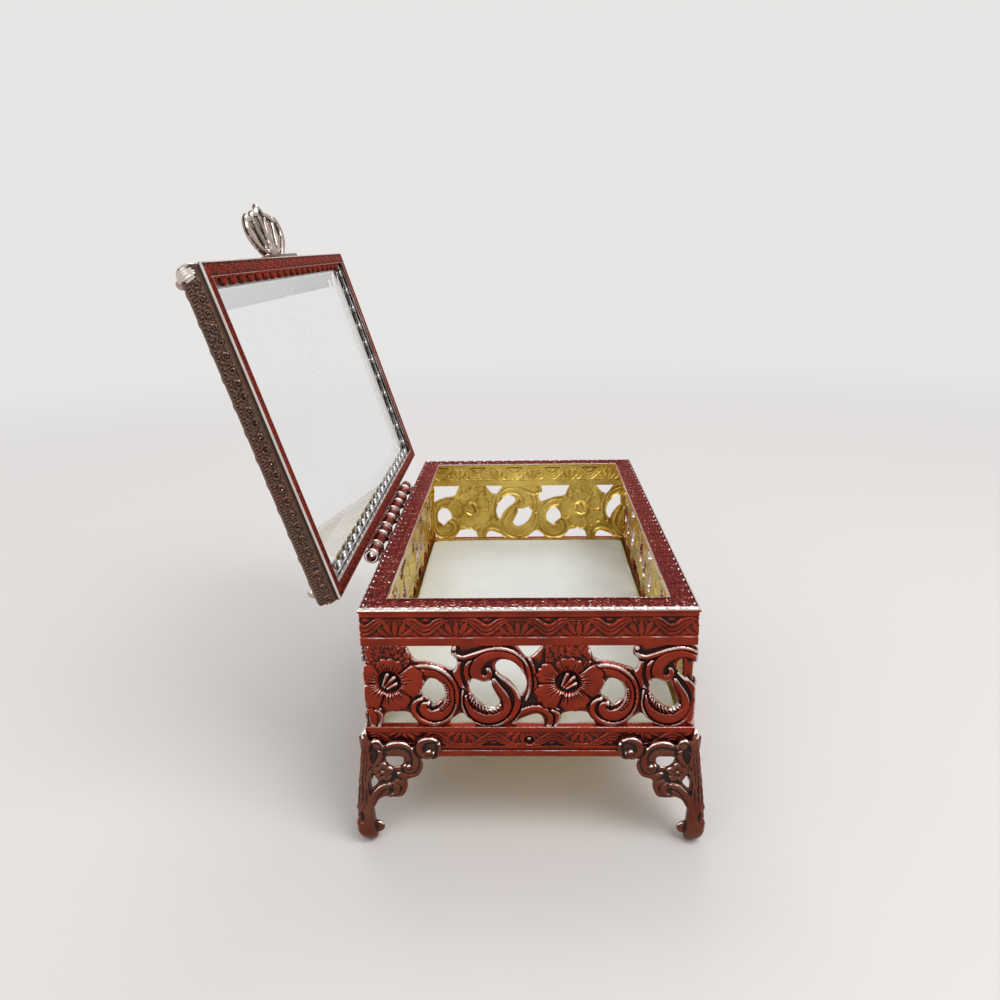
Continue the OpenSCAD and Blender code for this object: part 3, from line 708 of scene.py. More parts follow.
PANEL_GROUND = -0.42
OPENINGS = (
    ((4.3, 19.6), (4.8, 16.3), (5.8, 14.9), (8.7, 14.4), (12.2, 13.2), (13.6, 12.9), (14.2, 14.9),
     (13, 16.4), (12.7, 19.6)),
    ((8.6, 10.8), (10.3, 10.3), (11.5, 8.6), (11.5, 6.4), (10.3, 5.4), (9.3, 4.7), (8.2, 6), (6.8, 7.1),
     (7, 8.9), (7.7, 10)),
    ((-1.5, -1.2), (-1.5, 1.8), (-0.8, 2.8), (1, 3.2), (3.8, 3), (4.6, 1.9), (5.6, 0.6), (5.9, -1.2)),
    ((12.2, -1.2), (12.6, 1.1), (13.6, 2.1), (14.9, 2.8), (16.2, 1.9), (17.3, 1), (17.8, -1.2)),
    ((17.4, 10.9), (16.5, 8.8), (17.5, 6.5), (19.6, 4.5), (21.6, 4.1), (22.8, 5.4), (22, 7.2), (21.2, 9),
     (21, 10.3), (19.3, 10.3)),
    ((22, 13.9), (23.2, 15), (25.5, 14.5), (27.5, 12.3), (28.3, 10), (28, 8), (27, 6.8), (26.2, 8.6),
     (24.6, 10.5), (22.4, 12.2)),
    ((25.8, 19.6), (26.8, 17.4), (28.5, 15.4), (30.6, 16.8), (31.8, 19.6)),
    ((26.2, -1.2), (26.3, 0.9), (28.5, 2.1), (30.4, 2.6), (31.6, 1.6), (31.4, -1.2)),
)

# Where each wall's first flower stands, and the plate over a flower: half its width and its lower edge
FIRST_FLOWER = (12.5, 16, 20, 5.3)
PLATE_HALF = 4.6
PLATE_FOOT = 13.5

# The flower: height of its middle, its cup's radius, each petal's first and last degree and reach, and the
# tip and the base of each stamen from its middle
FLOWER_V = 10.0
CUP = 2.9
PETALS = ((128, 182, 6.7), (182, 250, 7.3), (250, 324, 6.7), (42, 128, 5.5), (-36, 42, 7.4))
STAMENS = (((-0.15, 1.7), (-1.25, -0.8)), ((1.2, 1.0), (-0.9, -1.2)), ((1.55, -0.45), (-0.3, -1.45)))


def flower(carving, u, v):
    """Five broad ragged petals round a deep cup with three stamens."""
    at = np.flatnonzero((np.abs(carving.u - u) < 8.2) & (np.abs(carving.v - v) < 8.2))
    if not len(at):
        return
    r = np.hypot(carving.u[at] - u, carving.v[at] - v)
    degrees = np.degrees(np.arctan2(carving.v[at] - v, carving.u[at] - u))
    spread = 0.22 * np.sin(np.radians(degrees) * 7 + 1)
    rays = 0.5 + 0.5 * np.cos(2 * np.pi * (degrees / 10.0 + spread))
    fade = 0.42 * (1 - ease(r, 2.7, 5.3 + 3 * spread))
    height = carving.h[at]
    for low, high, reach in PETALS:
        t = ((degrees - low) % 360) / (high - low)
        over = t < 1
        across = 2 * t - 1
        edge = reach * (1 - 0.27 * np.abs(across) ** 4) * (1 + 0.03 * np.cos(4.4 * np.pi * across + 1))
        q = r / edge
        petal = 0.36 * (1 - 0.45 * across**2) * np.sqrt(np.clip(1 - q**7, 0, 1))
        petal = petal * (0.7 + 0.3 * ease(r, 1.5, 4.5))
        petal = petal - rays**6 * (fade + 0.06 * ease(q, 0.8, 0.97))
        border = np.minimum(t, 1 - t) * math.radians(high - low) * r
        petal = petal - 0.42 * ridge(border / 0.18) * ease(r, 2.4, 3.0)
        height = np.where(over & (q < 1), np.maximum(petal, PANEL_GROUND + 0.1), height)
        height = np.where(over & (q >= 1) & (r < edge + 0.2), np.minimum(height, -0.12), height)
    slope = 0.14 - (1 - ease(r, 1.9, CUP)) - 0.24 * rays**3
    carving.h[at] = np.where(r < CUP, slope, height)
    for tip, base in STAMENS:
        middle = ((tip[0] + base[0]) / 2, (tip[1] + base[1]) / 2)
        points = [(u + a, v + b) for a, b in (base, middle, tip)]
        carving.band(points, (0.6, 1.0, 1.15), height=0.0, trench=0.0, base=-0.6)


def panel_repeat(carving, shift, repeat):
    """Plates, scrolls, leaves and flowers of one repeat, each laid over the ones before."""

    def band(points, widths, **settings):
        carving.band(points, widths, shift=shift, **settings)

    for middle in (shift, shift + repeat):
        over = (np.abs(carving.u - middle) < PLATE_HALF) & (carving.v > PLATE_FOOT)
        u = carving.u[over]
        v = carving.v[over]
        carving.h[over] = crumbs(u, v, 1.5, 0.16) + crumbs(u, v, 0.6, 0.16) - 0.2
    sepal = ((28.9, 15.6), (29.7, 13), (29.9, 10.3), (30.2, 7.7), (31.3, 5.9), (33, 4.6), (34.8, 3.9))
    band(sepal, (0.7, 0.9, 1.0, 1.1, 1.0, 0.8, 0.5), height=0.16)
    arch = ((25.6, 1.0), (26.3, 2.7), (28, 3.7), (29.9, 4.2), (31.6, 3.8), (32.9, 2.6), (33.1, 1.1),
            (32.7, -0.4))
    band(arch, (1.3, 1.3, 1.4, 1.4, 1.4, 1.4, 1.3, 1.2), height=0.22)
    leaf = ((33.5, 3.6), (34.6, 2.7), (34.6, 1.1), (34.0, -0.4))
    band(leaf, (0.7, 1.2, 1.2, 0.8), height=0.2)
    leaf = ((15.1, 15.4), (14.2, 13.5), (14.2, 11.4), (14.9, 9.6), (15.7, 8.5))
    band(leaf, (0.8, 1.6, 1.7, 1.3, 0.6), height=0.26)
    leaf = ((17.2, 15.3), (16.4, 13.8), (16.2, 12), (16.4, 10.6), (16.8, 9.4))
    band(leaf, (0.6, 1.3, 1.5, 1.2, 0.5), height=0.28)
    top = ((13.6, 17.6), (13.9, 16.3), (15.4, 15.7), (17.6, 16.3), (20.1, 17.2), (22.7, 17.6), (25.2, 17.0),
           (27.2, 15.5), (28.5, 13.3), (29.0, 10.8), (28.9, 8.4), (28.1, 6.2))
    band(top, (0.9, 1.1, 1.2, 1.2, 1.15, 1.15, 1.15, 1.1, 1.0, 0.9, 0.9, 0.6), height=0.34)
    carving.bead(13.75 + shift, 17.75, 0.6, 0.36)
    curl = ((27.6, 12.6), (27, 14.5), (25.1, 15.9), (22.5, 16.4), (20.1, 15.7), (18.5, 14.2), (17.95, 12.4),
            (18.7, 11.0), (20.1, 10.9), (20.8, 12.0), (20.5, 13.1))
    band(curl, (0.8, 1.15, 1.3, 1.4, 1.8, 2.2, 2.5, 2.5, 2.2, 1.5, 1.0), height=0.3, trench=0.2)
    outer = ((22.3, 12.2), (23.8, 10.8), (25.5, 9.0), (26.4, 6.8), (26.2, 4.4), (25.1, 2.3), (23.3, 1.0),
             (21.1, 0.55), (18.7, 0.8), (16.7, 2.0), (15.4, 4.0), (15.0, 6.3), (15.3, 8.3))
    band(outer, (0.8, 1.3, 1.5, 1.5, 1.45, 1.35, 1.2, 1.1, 1.1, 1.1, 1.0, 0.9, 0.6), height=0.32)
    body = ((21.6, 10.7), (22.6, 8.9), (23.8, 7), (24.3, 4.8), (23.4, 2.9), (21.4, 1.9), (19.2, 1.95),
            (17.3, 3.1), (16.2, 5), (15.9, 6.9))
    band(body, (1.0, 1.4, 1.6, 1.8, 2.0, 2.3, 2.3, 2.0, 1.4, 0.8), height=0.3, trench=0.22)
    crescent = ((16.5, 7.0), (17.4, 5.3), (19.0, 4.1), (20.9, 3.7), (22.7, 4.5))
    band(crescent, (0.8, 1.3, 1.6, 1.7, 1.3), height=0.2, ribs=0.78, depth=0.5, slant=0.7, trench=0.12)
    outer = ((5.0, 13.5), (7.4, 13.75), (9.9, 13.2), (12.0, 11.8), (13.4, 9.7), (13.9, 7.1), (13.6, 4.6),
             (12.6, 2.4), (11.0, 1.0), (8.9, 0.6), (6.9, 1.1), (5.5, 2.3), (4.9, 3.9), (5.4, 5.5), (6.7, 6.4))
    band(outer, (1.0, 1.15, 1.2, 1.3, 1.35, 1.35, 1.3, 1.2, 1.1, 1.1, 1.1, 1.15, 1.2, 1.2, 0.9), height=0.33)
    body = ((4.8, 12.0), (7.0, 12.4), (9.2, 12.1), (11.1, 10.9), (12.3, 9), (12.5, 6.7), (12.0, 4.6),
            (10.5, 2.9), (8.4, 2.6), (7.1, 3.7), (7.2, 5.0), (8.3, 5.2))
    band(body, (1.3, 1.5, 1.6, 1.7, 1.8, 1.9, 2.1, 2.5, 2.7, 2.4, 1.8, 0.9), height=0.29, trench=0.2)
    ticks = ((11.7, 10.0), (12.3, 8.4), (12.35, 6.6), (11.9, 5.0), (10.9, 3.9))
    band(ticks, (0.5, 0.7, 0.8, 0.9, 0.9), height=0.24, ribs=0.62, depth=0.3, trench=0.0)
    carving.bead(9.1 + shift, 5.1, 0.5, 0.3)
    flower(carving, shift, FLOWER_V)
    flower(carving, shift + repeat, FLOWER_V)


def build_panel(wall):
    s = sizes()
    long = wall_length(wall)
    tall = s.rim_foot - s.panel_foot
    start = FIRST_FLOWER[wall] % s.repeat - s.repeat
    shifts = [start + k * s.repeat for k in range(int((long - start) / s.repeat) + 1)]
    margin = 1.9
    low = np.array([margin, -1.0])
    high = np.array([long - margin, tall + 1.0])
    outlines = [smooth_line(opening, closed=True, steps=4) for opening in OPENINGS]
    holes = [clipped(line + np.array([shift, 0.0]), low, high) for shift in shifts for line in outlines]
    holes = [line for line in holes if line is not None]
    step = s.end_step if wall % 2 else s.panel_step
    piece = cut_sheet("pierced_panel_" + WALLS[wall], (0, 0), (long, tall), step, None, holes)

    def carve(u, v):
        carving = Carving(u, v, PANEL_GROUND)
        for shift in shifts:
            panel_repeat(carving, shift, s.repeat)
        stipple = crumbs(u, v, 0.55, 0.04, 1.5)
        top_rim = 0.1 * ease(v, tall - 0.25, tall - 0.05)
        return carving.h + np.where(carving.h < PANEL_GROUND + 0.05, stipple, 0) + top_rim

    carved_sheet(piece, carve, 0.9, back=0.55)
    flat = points_of(piece)
    depth = 0.5 - flat[:, 2]
    x = flat[:, 0] - long / 2
    x = x - np.sign(x) * depth * ease(np.abs(x), long / 2 - 5, long / 2)
    set_points(piece, on_wall(wall, x, depth, s.panel_foot + flat[:, 1]))
    return piece


def clipped(line, low, high):
    """The closed line's part inside a rectangle, or None where nothing is left."""
    points = [tuple(point) for point in line[:-1]]
    for axis, bound, sign in ((0, low[0], 1), (0, high[0], -1), (1, low[1], 1), (1, high[1], -1)):
        kept = []
        for a, b in zip(points, points[1:] + points[:1]):
            inside_a = sign * (a[axis] - bound) >= 0
            inside_b = sign * (b[axis] - bound) >= 0
            if inside_a:
                kept.append(a)
            if inside_a != inside_b:
                t = (bound - a[axis]) / (b[axis] - a[axis])
                kept.append((a[0] + t * (b[0] - a[0]), a[1] + t * (b[1] - a[1])))
        points = kept
        if len(points) < 3:
            return None
    return np.array(points + points[:1])


# Rails


# Where the first swag of each wall's rim hangs, and the spacing of the knobs on the rim and on the lid
WAVE_START = (2.0, 4.0, 2.0, 4.0)
RIM_KNOBS = 3.1
LID_KNOBS = 5.3

# How far the carving of the rim's top and of the lid's underside may stand out, so that the lid shuts
PROUD = 0.06


def build_rim(wall):
    s = sizes()
    top = s.rim_top
    foot = s.rim_foot
    start = WAVE_START[wall]
    mouth = 5.4
    inner = 1.7
    band = 0.33
    shelf = top - 1.0
    fillet = foot + 1.9

    def face(x, at, run):
        return running_wave(x, at, run, start)

    def back(x, at, run):
        return -0.8 * running_wave(-x, run - at, run, -start)

    def flange(x, at, run):
        height = 1.6 * vine(x, at, run, start=wall * 1.7) + crumbs(x, at, 0.7, 0.05) - 0.22
        knob = np.hypot((x % RIM_KNOBS - RIM_KNOBS / 2) / 0.8, (at - 0.42) / 0.42)
        height = np.maximum(height, 0.34 * dome(knob) - 0.28)
        if wall == 2:
            # The rim's strip meets here: a plain patch with a line of solder
            patch = ridge((x + 2.8) / 0.7)
            height = height * (1 - patch) - 0.1 * patch + 0.14 * ridge((x + 2.0 + 0.12 * at) / 0.16)
        return np.minimum(height, PROUD)

    def worn_edge(x, at, run):
        turn = 2 * np.pi * x
        return 0.15 * (0.5 + 0.3 * np.cos(turn / RIM_KNOBS) + 0.2 * np.cos(turn / 1.27 + 0.6 * np.pi))

    return rail("rim_rail_" + WALLS[wall], wall, [
        (0.0, shelf, 0.3, OUTSIDE),
        (0.0, top - 0.6, 0.15, EDGE),
        (0.05, top - 0.46, 0.1, EDGE, worn_edge),
        (0.5, top, 0.17, FLANGE, flange),
        (mouth - 0.2, top, 0.15, FLANGE),
        (mouth, top - 0.2, 0.3, INSIDE),
        (mouth, shelf, 1.0, INSIDE),
        (inner, shelf, 0.22, INSIDE, back),
        (inner, fillet, 0.6, INSIDE),
        (inner, foot, 0.8, INSIDE),
        (0.35, foot, 0.2, OUTSIDE),
        (0.25, foot + 0.1, 0.5, OUTSIDE),
        (0.25, fillet - 0.1, 0.15, OUTSIDE),
        (band, fillet, 0.17, OUTSIDE, face),
        (band, shelf, 0.35, OUTSIDE),
    ])


# The lower rail's fillets under and over its band
FOOT_FILLET = 1.5
TOP_FILLET = 1.3


def build_lower_rail(wall):
    s = sizes()
    foot = s.rail_foot
    top = s.panel_foot
    low = foot + FOOT_FILLET
    high = top - TOP_FILLET
    proud = 0.1
    back = 0.22
    band = 0.5
    inner = 1.9
    ledge = 4.0

    def face(x, at, run):
        height = running_wave(x, at, run, 4.8, flip=True)
        r = np.hypot(x, at - run / 2)
        pit = 0.16 * ridge((r - 1.25) / 0.16) - 0.75 * (1 - ease(r, 0.75, 1.05)) - 0.05
        return np.where(r < 1.5, pit, height)

    return rail("base_rail_" + WALLS[wall], wall, [
        (0.2, foot, 0.15, OUTSIDE),
        (proud, foot + 0.1, 0.45, OUTSIDE),
        (proud, low - 0.12, 0.15, OUTSIDE),
        (back, low, 0.28, OUTSIDE),
        (band, low, 0.17, OUTSIDE, face),
        (band, high, 0.28, OUTSIDE),
        (back, high, 0.15, OUTSIDE),
        (proud, high + 0.12, 0.4, OUTSIDE),
        (proud, top - 0.12, 0.15, OUTSIDE),
        (back, top, 0.28, OUTSIDE),
        (inner, top, 1.2, INSIDE),
        (inner, foot + 0.8, 1.1, INSIDE),
        (ledge, foot + 0.8, 0.8, INSIDE),
        (ledge, foot, 1.3, OUTSIDE),
    ])


def build_lid_rail(wall):
    s = sizes()
    foot = s.lid_foot
    high = s.lid_top
    glass = high - 0.8
    mouth = 4.8
    groove_depth = 1.2
    lip = 3.0

    def side(x, at, run):
        at = at + 0.35
        groove = -0.22 * ease(at, 0.5, 0.62) * (1 - ease(at, 1.1, 1.25))
        curls = curl_row(x, at - 1.2, 2.3, LID_KNOBS) * ease(at, 1.1, 1.25) * (1 - ease(at, 3.4, 3.55))
        ribs = 0.11 * np.cos(2 * np.pi * (x / 0.62 + 0.45 * at)) - 0.06
        return groove + curls + ribs * ease(at, 3.45, 3.6)

    def top(x, at, run):
        knobs = 0.24 * dome(np.hypot(x % LID_KNOBS - LID_KNOBS / 2, (at - 0.5) * 1.4))
        field = vine(x, at, run, start=1.0 + wall) + crumbs(x, at, 0.45, 0.05)
        return np.maximum(field * ease(at, 0.5, 0.9), knobs)

    def under(x, at, run):
        return np.minimum(1.4 * vine(x, at * 1.4, 3.4, start=2.0) + crumbs(x, at, 0.55, 0.08) - 0.2, PROUD)

    return swing(rail("lid_frame_" + WALLS[wall], wall, [
        (0.0, foot + 0.35, 0.16, OUTSIDE, side),
        (0.0, high - 0.5, 0.2, OUTSIDE),
        (0.5, high, 0.19, OUTSIDE, top),
        (4.5, high, 0.25, OUTSIDE),
        (mouth, high - 0.3, 0.3, OUTSIDE),
        (mouth, glass, 0.9, OUTSIDE),
        (groove_depth, glass, 1.2, OUTSIDE),
        (groove_depth, foot + 0.8, 0.9, OUTSIDE),
        (lip, foot + 0.8, 0.4, OUTSIDE),
        (lip, foot + 0.15, 0.15, FLANGE),
        (lip - 0.15, foot, 0.18, FLANGE, under),
        (0.28, foot, 0.2, EDGE),
    ]))


# Feet: two carved brackets round a corner, a leg between them and a curled toe

BRACKET_LINE = (
    (0, 24.9), (0.9, 24), (2, 24.5), (3.1, 24.1), (3.8, 23.1), (5.2, 23.8), (6.8, 24), (8.6, 23.6),
    (9.9, 22.5), (10.8, 24.1), (12.6, 25.1), (14.8, 24.7), (15.9, 22.4), (15.1, 20.2), (13.2, 19.5),
    (11.6, 19.7), (11.8, 17.8), (10.7, 15.7), (8.5, 14.8), (8.3, 12.8), (7.3, 10.8), (5.6, 10.3), (3.8, 11),
    (2.2, 10.2), (1.2, 8.6), (0, 8.2),
)
BRACKET_OPENINGS = (
    ((4.0, 19.9), (5.5, 20.1), (7.5, 20.0), (7.7, 18.8), (7.0, 17.9), (5.6, 17.8), (4.5, 18.6)),
    ((0.4, 13.1), (0.6, 14.8), (1.5, 15.8), (2.3, 14.6), (1.5, 13.4)),
)

# The leg: height, how far its outer faces stand out from the corner, and its thickness
LEG = np.array((
    (0.0, 0.6, 1.5), (0.25, 1.1, 2.3), (0.6, 1.6, 3.0), (1.2, 2.15, 3.6), (2, 2.6, 4.0), (3, 2.85, 4.1),
    (5, 2.95, 4.1), (7, 2.75, 3.7), (9, 2.45, 3.2), (12, 2.05, 2.7), (15.5, 1.7, 2.4), (19.4, 1.25, 2.1),
    (22.5, 1.1, 2.2), (24.5, 1.1, 1.9), (25.6, 0.9, 1.3), (26.4, 0.35, 0.5),
))
LEG_POINTS = 72
FOOT_FLOWER = (3.4, 16.7)


def flare(z):
    """How far the leg's outer faces stand out from the corner at a height."""
    return np.interp(z, LEG[:, 0], LEG[:, 1])


def carve_bracket(u, v):
    """Scrolls, a small flower and ridges of one face of a foot, with u from the corner."""
    carving = Carving(u, v, -0.36)
    band = carving.band
    band(((9.6, 22.4), (10.7, 20.8), (11.3, 18.8), (10.9, 16.9), (9.6, 15.7), (8.0, 15.4), (6.7, 16.1)),
         (1.0, 1.1, 1.2, 1.3, 1.5, 1.6, 1.1), height=0.08)
    band(((6.2, 14.2), (7.6, 13.7), (8.0, 12.4), (7.3, 11.3), (6.2, 11.0)),
         (1.2, 1.5, 1.6, 1.4, 0.9), height=0.0)
    band(((0.7, 22.0), (0.5, 20.0), (0.8, 18.2), (0.4, 16.4), (-0.2, 14.6), (-0.6, 12.6)),
         (0.8, 0.8, 0.7, 0.7, 0.7, 0.6), height=0.16)
    band(((2.5, 22.2), (3.1, 21.2), (2.8, 19.9), (1.8, 18.3), (0.8, 16.8), (0.1, 15.2), (-0.4, 13.4),
          (-0.7, 11.2)),
         (0.8, 1.3, 1.2, 0.8, 0.65, 0.65, 0.65, 0.6), height=0.3)
    middle, high = FOOT_FLOWER
    turns = [math.radians(90 + 72 * k) for k in range(5)]
    for turn in turns:
        carving.bead(middle + 1.35 * math.cos(turn), high + 1.35 * math.sin(turn), 0.95, 0.22)
    for turn in turns:
        slit = [(middle + r * math.cos(turn), high + r * math.sin(turn)) for r in (0.6, 1.1, 1.5)]
        band(slit, (0.3, 0.4, 0.2), height=-0.02, base=-0.3, trench=0.0)
    carving.bead(middle, high, 0.55, 0.26)
    band(((4.4, 13.6), (5.4, 13.5), (6.1, 12.7), (5.9, 11.8), (5.1, 11.4)),
         (1.3, 1.4, 1.4, 1.2, 0.7), height=0.18)
    band(((4.5, 13.6), (3.1, 13.3), (1.9, 12.3), (1.0, 10.9), (0.4, 9.0)),
         (1.2, 1.3, 1.3, 1.3, 1.1), height=0.22)
    band(((4.3, 12.1), (3.2, 11.7), (2.2, 10.7), (1.4, 9.3)), (0.9, 1.1, 1.0, 0.7),
         height=-0.14, base=-0.34, ribs=0.5, depth=0.22, trench=0.06)
    band(((4.9, 10.9), (3.7, 10.9), (2.5, 9.9), (1.8, 8.6)), (0.5, 0.6, 0.6, 0.5), height=0.08, trench=0.1)
    band(((4.2, 21.0), (5.6, 21.4), (7.2, 21.3), (8.4, 20.6), (8.9, 19.5)), (1.3, 1.7, 1.7, 1.4, 1.0),
         height=-0.2, base=-0.4, ribs=0.5, depth=0.22, trench=0.05)
    band(((3.9, 22.5), (5.2, 23.2), (7.0, 23.4), (8.6, 23.0), (9.7, 22.0), (10.2, 20.5), (10.3, 19.0),
          (10.0, 17.6), (9.2, 16.9), (8.3, 17.2), (8.0, 18.1)),
         (1.0, 1.4, 1.5, 1.5, 1.3, 1.2, 1.3, 1.4, 1.3, 1.1, 0.9), height=0.38)
    carving.bead(8.8, 17.9, 0.62, 0.38)
    band(((15.0, 24.3), (15.5, 23.0), (15.4, 21.4), (14.6, 20.2), (13.2, 19.8)), (0.8, 0.9, 0.9, 0.8, 0.6),
         height=0.18, trench=0.1)
    band(((14.9, 24.2), (13.4, 24.5), (12.0, 24.0), (11.25, 22.9), (11.3, 21.5), (12.1, 20.55), (13.2, 20.4),
          (14.0, 21.1)),
         (0.7, 1.2, 1.5, 1.6, 1.5, 1.3, 1.2, 0.8), height=0.44, trench=0.4)
    carving.bead(13.1, 21.2, 0.72, 0.3)
    band(((0.9, 23.1), (1.5, 23.8), (2.5, 23.9), (3.3, 23.3), (3.5, 22.5)),
         (1.0, 1.3, 1.4, 1.3, 1.0), height=0.4)
    carving.bead(2.3, 22.8, 0.8, 0.3)
    band(((-0.4, 26.4), (-0.2, 25.3), (0.1, 24.1), (0.3, 22.9), (0.4, 21.6)),
         (0.5, 1.3, 1.8, 1.5, 0.7), height=0.4)
    return carving.h


def build_bracket():
    """One face of a foot, with x from the corner along the wall, y inwards and z up."""
    line = [(-1.25, 8.2), (-1.25, 25.9)] + list(BRACKET_LINE)
    outer = np.vstack([line[:2], smooth_line(BRACKET_LINE, steps=4), line[:1]])
    holes = [smooth_line(opening, closed=True, steps=4) for opening in BRACKET_OPENINGS]
    piece = cut_sheet("bracket", (-1.4, 8.0), (16.1, 26.5), 0.14, outer, holes)
    carved_sheet(piece, carve_bracket, 0.85, back=0.2, soften=0.35)
    flat = points_of(piece)
    a, z = flat[:, 0], flat[:, 1]
    out = 1.0 + flat[:, 2] * 0.9 + (flare(z) - 1.25) * (1 - ease(a, 0.5, 7.5)) * (z < 19.4)
    set_points(piece, np.stack([np.maximum(a, -out), -out, z], -1))
    outward(piece)
    return piece


def build_leg():
    """The leg at the corner: a rounded square section that swells into the toe, ridged on its outer faces."""
    heights = np.concatenate([np.linspace(0, 1.4, 9)[:-1], np.arange(1.4, 26.4, 0.25), [26.4]])
    piece = fresh("leg", bpy.ops.mesh.primitive_grid_add, x_subdivisions=LEG_POINTS,
                  y_subdivisions=len(heights) - 1, size=2)
    turn = np.linspace(0, 2 * np.pi, LEG_POINTS + 1)
    outer = ease(np.maximum(-np.cos(turn), -np.sin(turn)), 0.2, 0.6)
    off = np.abs(turn - 1.25 * np.pi)
    rows = []
    for z in heights:
        thick = np.interp(z, LEG[:, 0], LEG[:, 2])
        soft = 2.4 + 1.6 * ease(z, 3, 9)
        r = thick / 2 / (np.abs(np.cos(turn)) ** soft + np.abs(np.sin(turn)) ** soft) ** (1 / soft)
        waves = np.cos(turn * 12 + 1.0 * math.sin(z * 0.7)) * ease(z, 9.0, 11.5)
        r = r + 0.24 * waves * (1 - ease(z, 20, 22)) * outer - 0.1 * outer * ease(z, 2, 5)
        loop = 0.38 + 0.2 * math.sin(math.pi * min(max((z - 3.5) / 8, 0), 1))
        r = r + 0.2 * ridge((off - loop) / 0.1) * ease(z, 3.5, 5) * (1 - ease(z, 11, 12.5))
        r = r - 1.1 * ridge((off - 0.42 + 0.04 * (z - 6.8)) / 0.26) * ridge((z - 6.7) / 1.2)
        r = r + 0.3 * ridge((off - 0.34) / 0.2) * ridge((z - 8.7) / 0.55)
        r = r - 0.25 * ridge(off / 0.08) * ease(z, 7.0, 8.5) * (1 - ease(z, 12, 14))
        middle = thick / 2 - flare(z)
        x = middle + r * np.cos(turn)
        y = middle + r * np.sin(turn)
        rows.append(np.stack([x, y, np.full(turn.shape, z)], -1))
    set_points(piece, np.concatenate(rows))
    return rolled_up(piece)


def build_toe_curl():
    """The small volute on the inner side of the toe."""
    parts = []
    for major, minor, y in ((0.95, 0.42, -0.55), (0.45, 0.3, -0.75)):
        parts.append(fresh(
            "toe_ring", bpy.ops.mesh.primitive_torus_add, major_radius=major * MM, minor_radius=minor * MM,
            major_segments=40, minor_segments=16, location=(1.6 * MM, y * MM, 3.1 * MM),
            rotation=(math.pi / 2, 0, 0),
        ))
    parts.append(fresh(
        "toe_core", bpy.ops.mesh.primitive_uv_sphere_add, segments=24, ring_count=16, radius=1.25 * MM,
        location=(1.5 * MM, -0.2 * MM, 3.1 * MM), scale=(1, 0.5, 1),
    ))
    for part in parts:
        set_place(part)
    return joined("toe_curl", parts)


def other_face(piece):
    """A copy of a corner piece, turned over the corner's diagonal onto the other wall."""
    take(piece)
    bpy.ops.object.duplicate()
    copy = bpy.context.object
    at = points_of(copy)
    set_points(copy, at[:, (1, 0, 2)])
    outward(copy)
    return copy


def build_foot():
    """The foot at the front left corner, in one skin."""
    s = sizes()
    parts = []
    for maker in (build_bracket, build_toe_curl):
        first = maker()
        parts += [first, other_face(first)]
    foot = joined("foot_cast", parts + [build_leg()])
    foot.data.materials.clear()
    foot.data.remesh_voxel_size = s.foot_voxel * MM
    foot.data.use_remesh_preserve_volume = False
    bpy.ops.object.voxel_remesh()
    apply_modifier(foot, "SMOOTH", factor=0.5, iterations=2)
    at = points_of(foot)
    at[:, 0] -= s.box_length / 2
    at[:, 1] -= s.box_width / 2
    at[:, 2] = np.maximum(at[:, 2], 0)
    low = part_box("foot_front_left")[0]
    at[:, :2] = np.maximum(at[:, :2], np.array(low[:2]) / MM)
    set_points(foot, at)
    return foot


# Turned pieces


def turned(name, profile, middle, axis, steps=32, closed=True):
    """A solid turned from (along, radius) points about an axis, 0 for X, 1 for Y and 2 for Z, through middle.
    The profile of a solid that meets its axis isn't closed."""
    piece = fresh(name, bpy.ops.mesh.primitive_circle_add, vertices=len(profile), radius=1)
    at = np.tile(np.array(middle, float), (len(profile), 1))
    along, radius = np.array(profile, float).T
    at[:, axis] += along
    at[:, (axis + 1) % 3] += radius
    set_points(piece, at)
    edit_all(piece)
    if not closed:
        bpy.ops.mesh.select_mode(type="EDGE")
        bpy.ops.mesh.select_all(action="DESELECT")
        bpy.ops.object.mode_set(mode="OBJECT")
        last = {0, len(profile) - 1}
        for edge in piece.data.edges:
            edge.select = set(edge.vertices) == last
        bpy.ops.object.mode_set(mode="EDIT")
        bpy.ops.mesh.delete(type="EDGE")
        bpy.ops.mesh.select_mode(type="VERT")
        bpy.ops.mesh.select_all(action="SELECT")
    way = [0, 0, 0]
    way[axis] = 1
    bpy.ops.mesh.spin(steps=steps, angle=2 * math.pi, center=Vector(middle) * MM, axis=way)
    bpy.ops.mesh.select_all(action="SELECT")
    bpy.ops.mesh.remove_doubles(threshold=2 * MERGE)
    bpy.ops.mesh.normals_make_consistent(inside=False)
    bpy.ops.object.mode_set(mode="OBJECT")
    return piece


def block(name, low, high, bevel=0.1):
    """A bar between two corners with rounded edges."""
    low = np.array(low, float)
    high = np.array(high, float)
    piece = fresh(name, bpy.ops.mesh.primitive_cube_add, size=1, location=(low + high) / 2 * MM,
                  scale=(high - low) * MM)
    set_place(piece)
    apply_modifier(piece, "BEVEL", width=bevel * MM, segments=2, limit_method="NONE")
    return piece


# Hinge

HINGE_LONG = 60.0
KNUCKLE_PITCH = 13.6
BOX_KNUCKLE = 5.6
LID_KNUCKLE = 8.0
LEAF = 0.5
PIN = 0.76
BARREL = 1.45
LID_RING = 2.02
BOX_RING = 1.8


def knuckle(x, long, ring):
    """A hinge knuckle from x, with a rounded ring of this radius at its left end."""
    s = sizes()
    rise = ring - BARREL
    low = BARREL + 0.6 * rise
    high = BARREL + 0.92 * rise
    profile = [(0, PIN), (0, 1.4), (0.06, low), (0.18, high), (0.32, ring), (0.46, high), (0.58, low),
               (0.66, 1.42), (0.8, 1.4), (1.1, 1.46), (long / 2, 1.5), (long - 0.3, 1.46), (long - 0.1, 1.38),
               (long, 1.2), (long, PIN)]
    return turned("knuckle", profile, (x, s.hinge_y, s.rim_top), 0, steps=36)


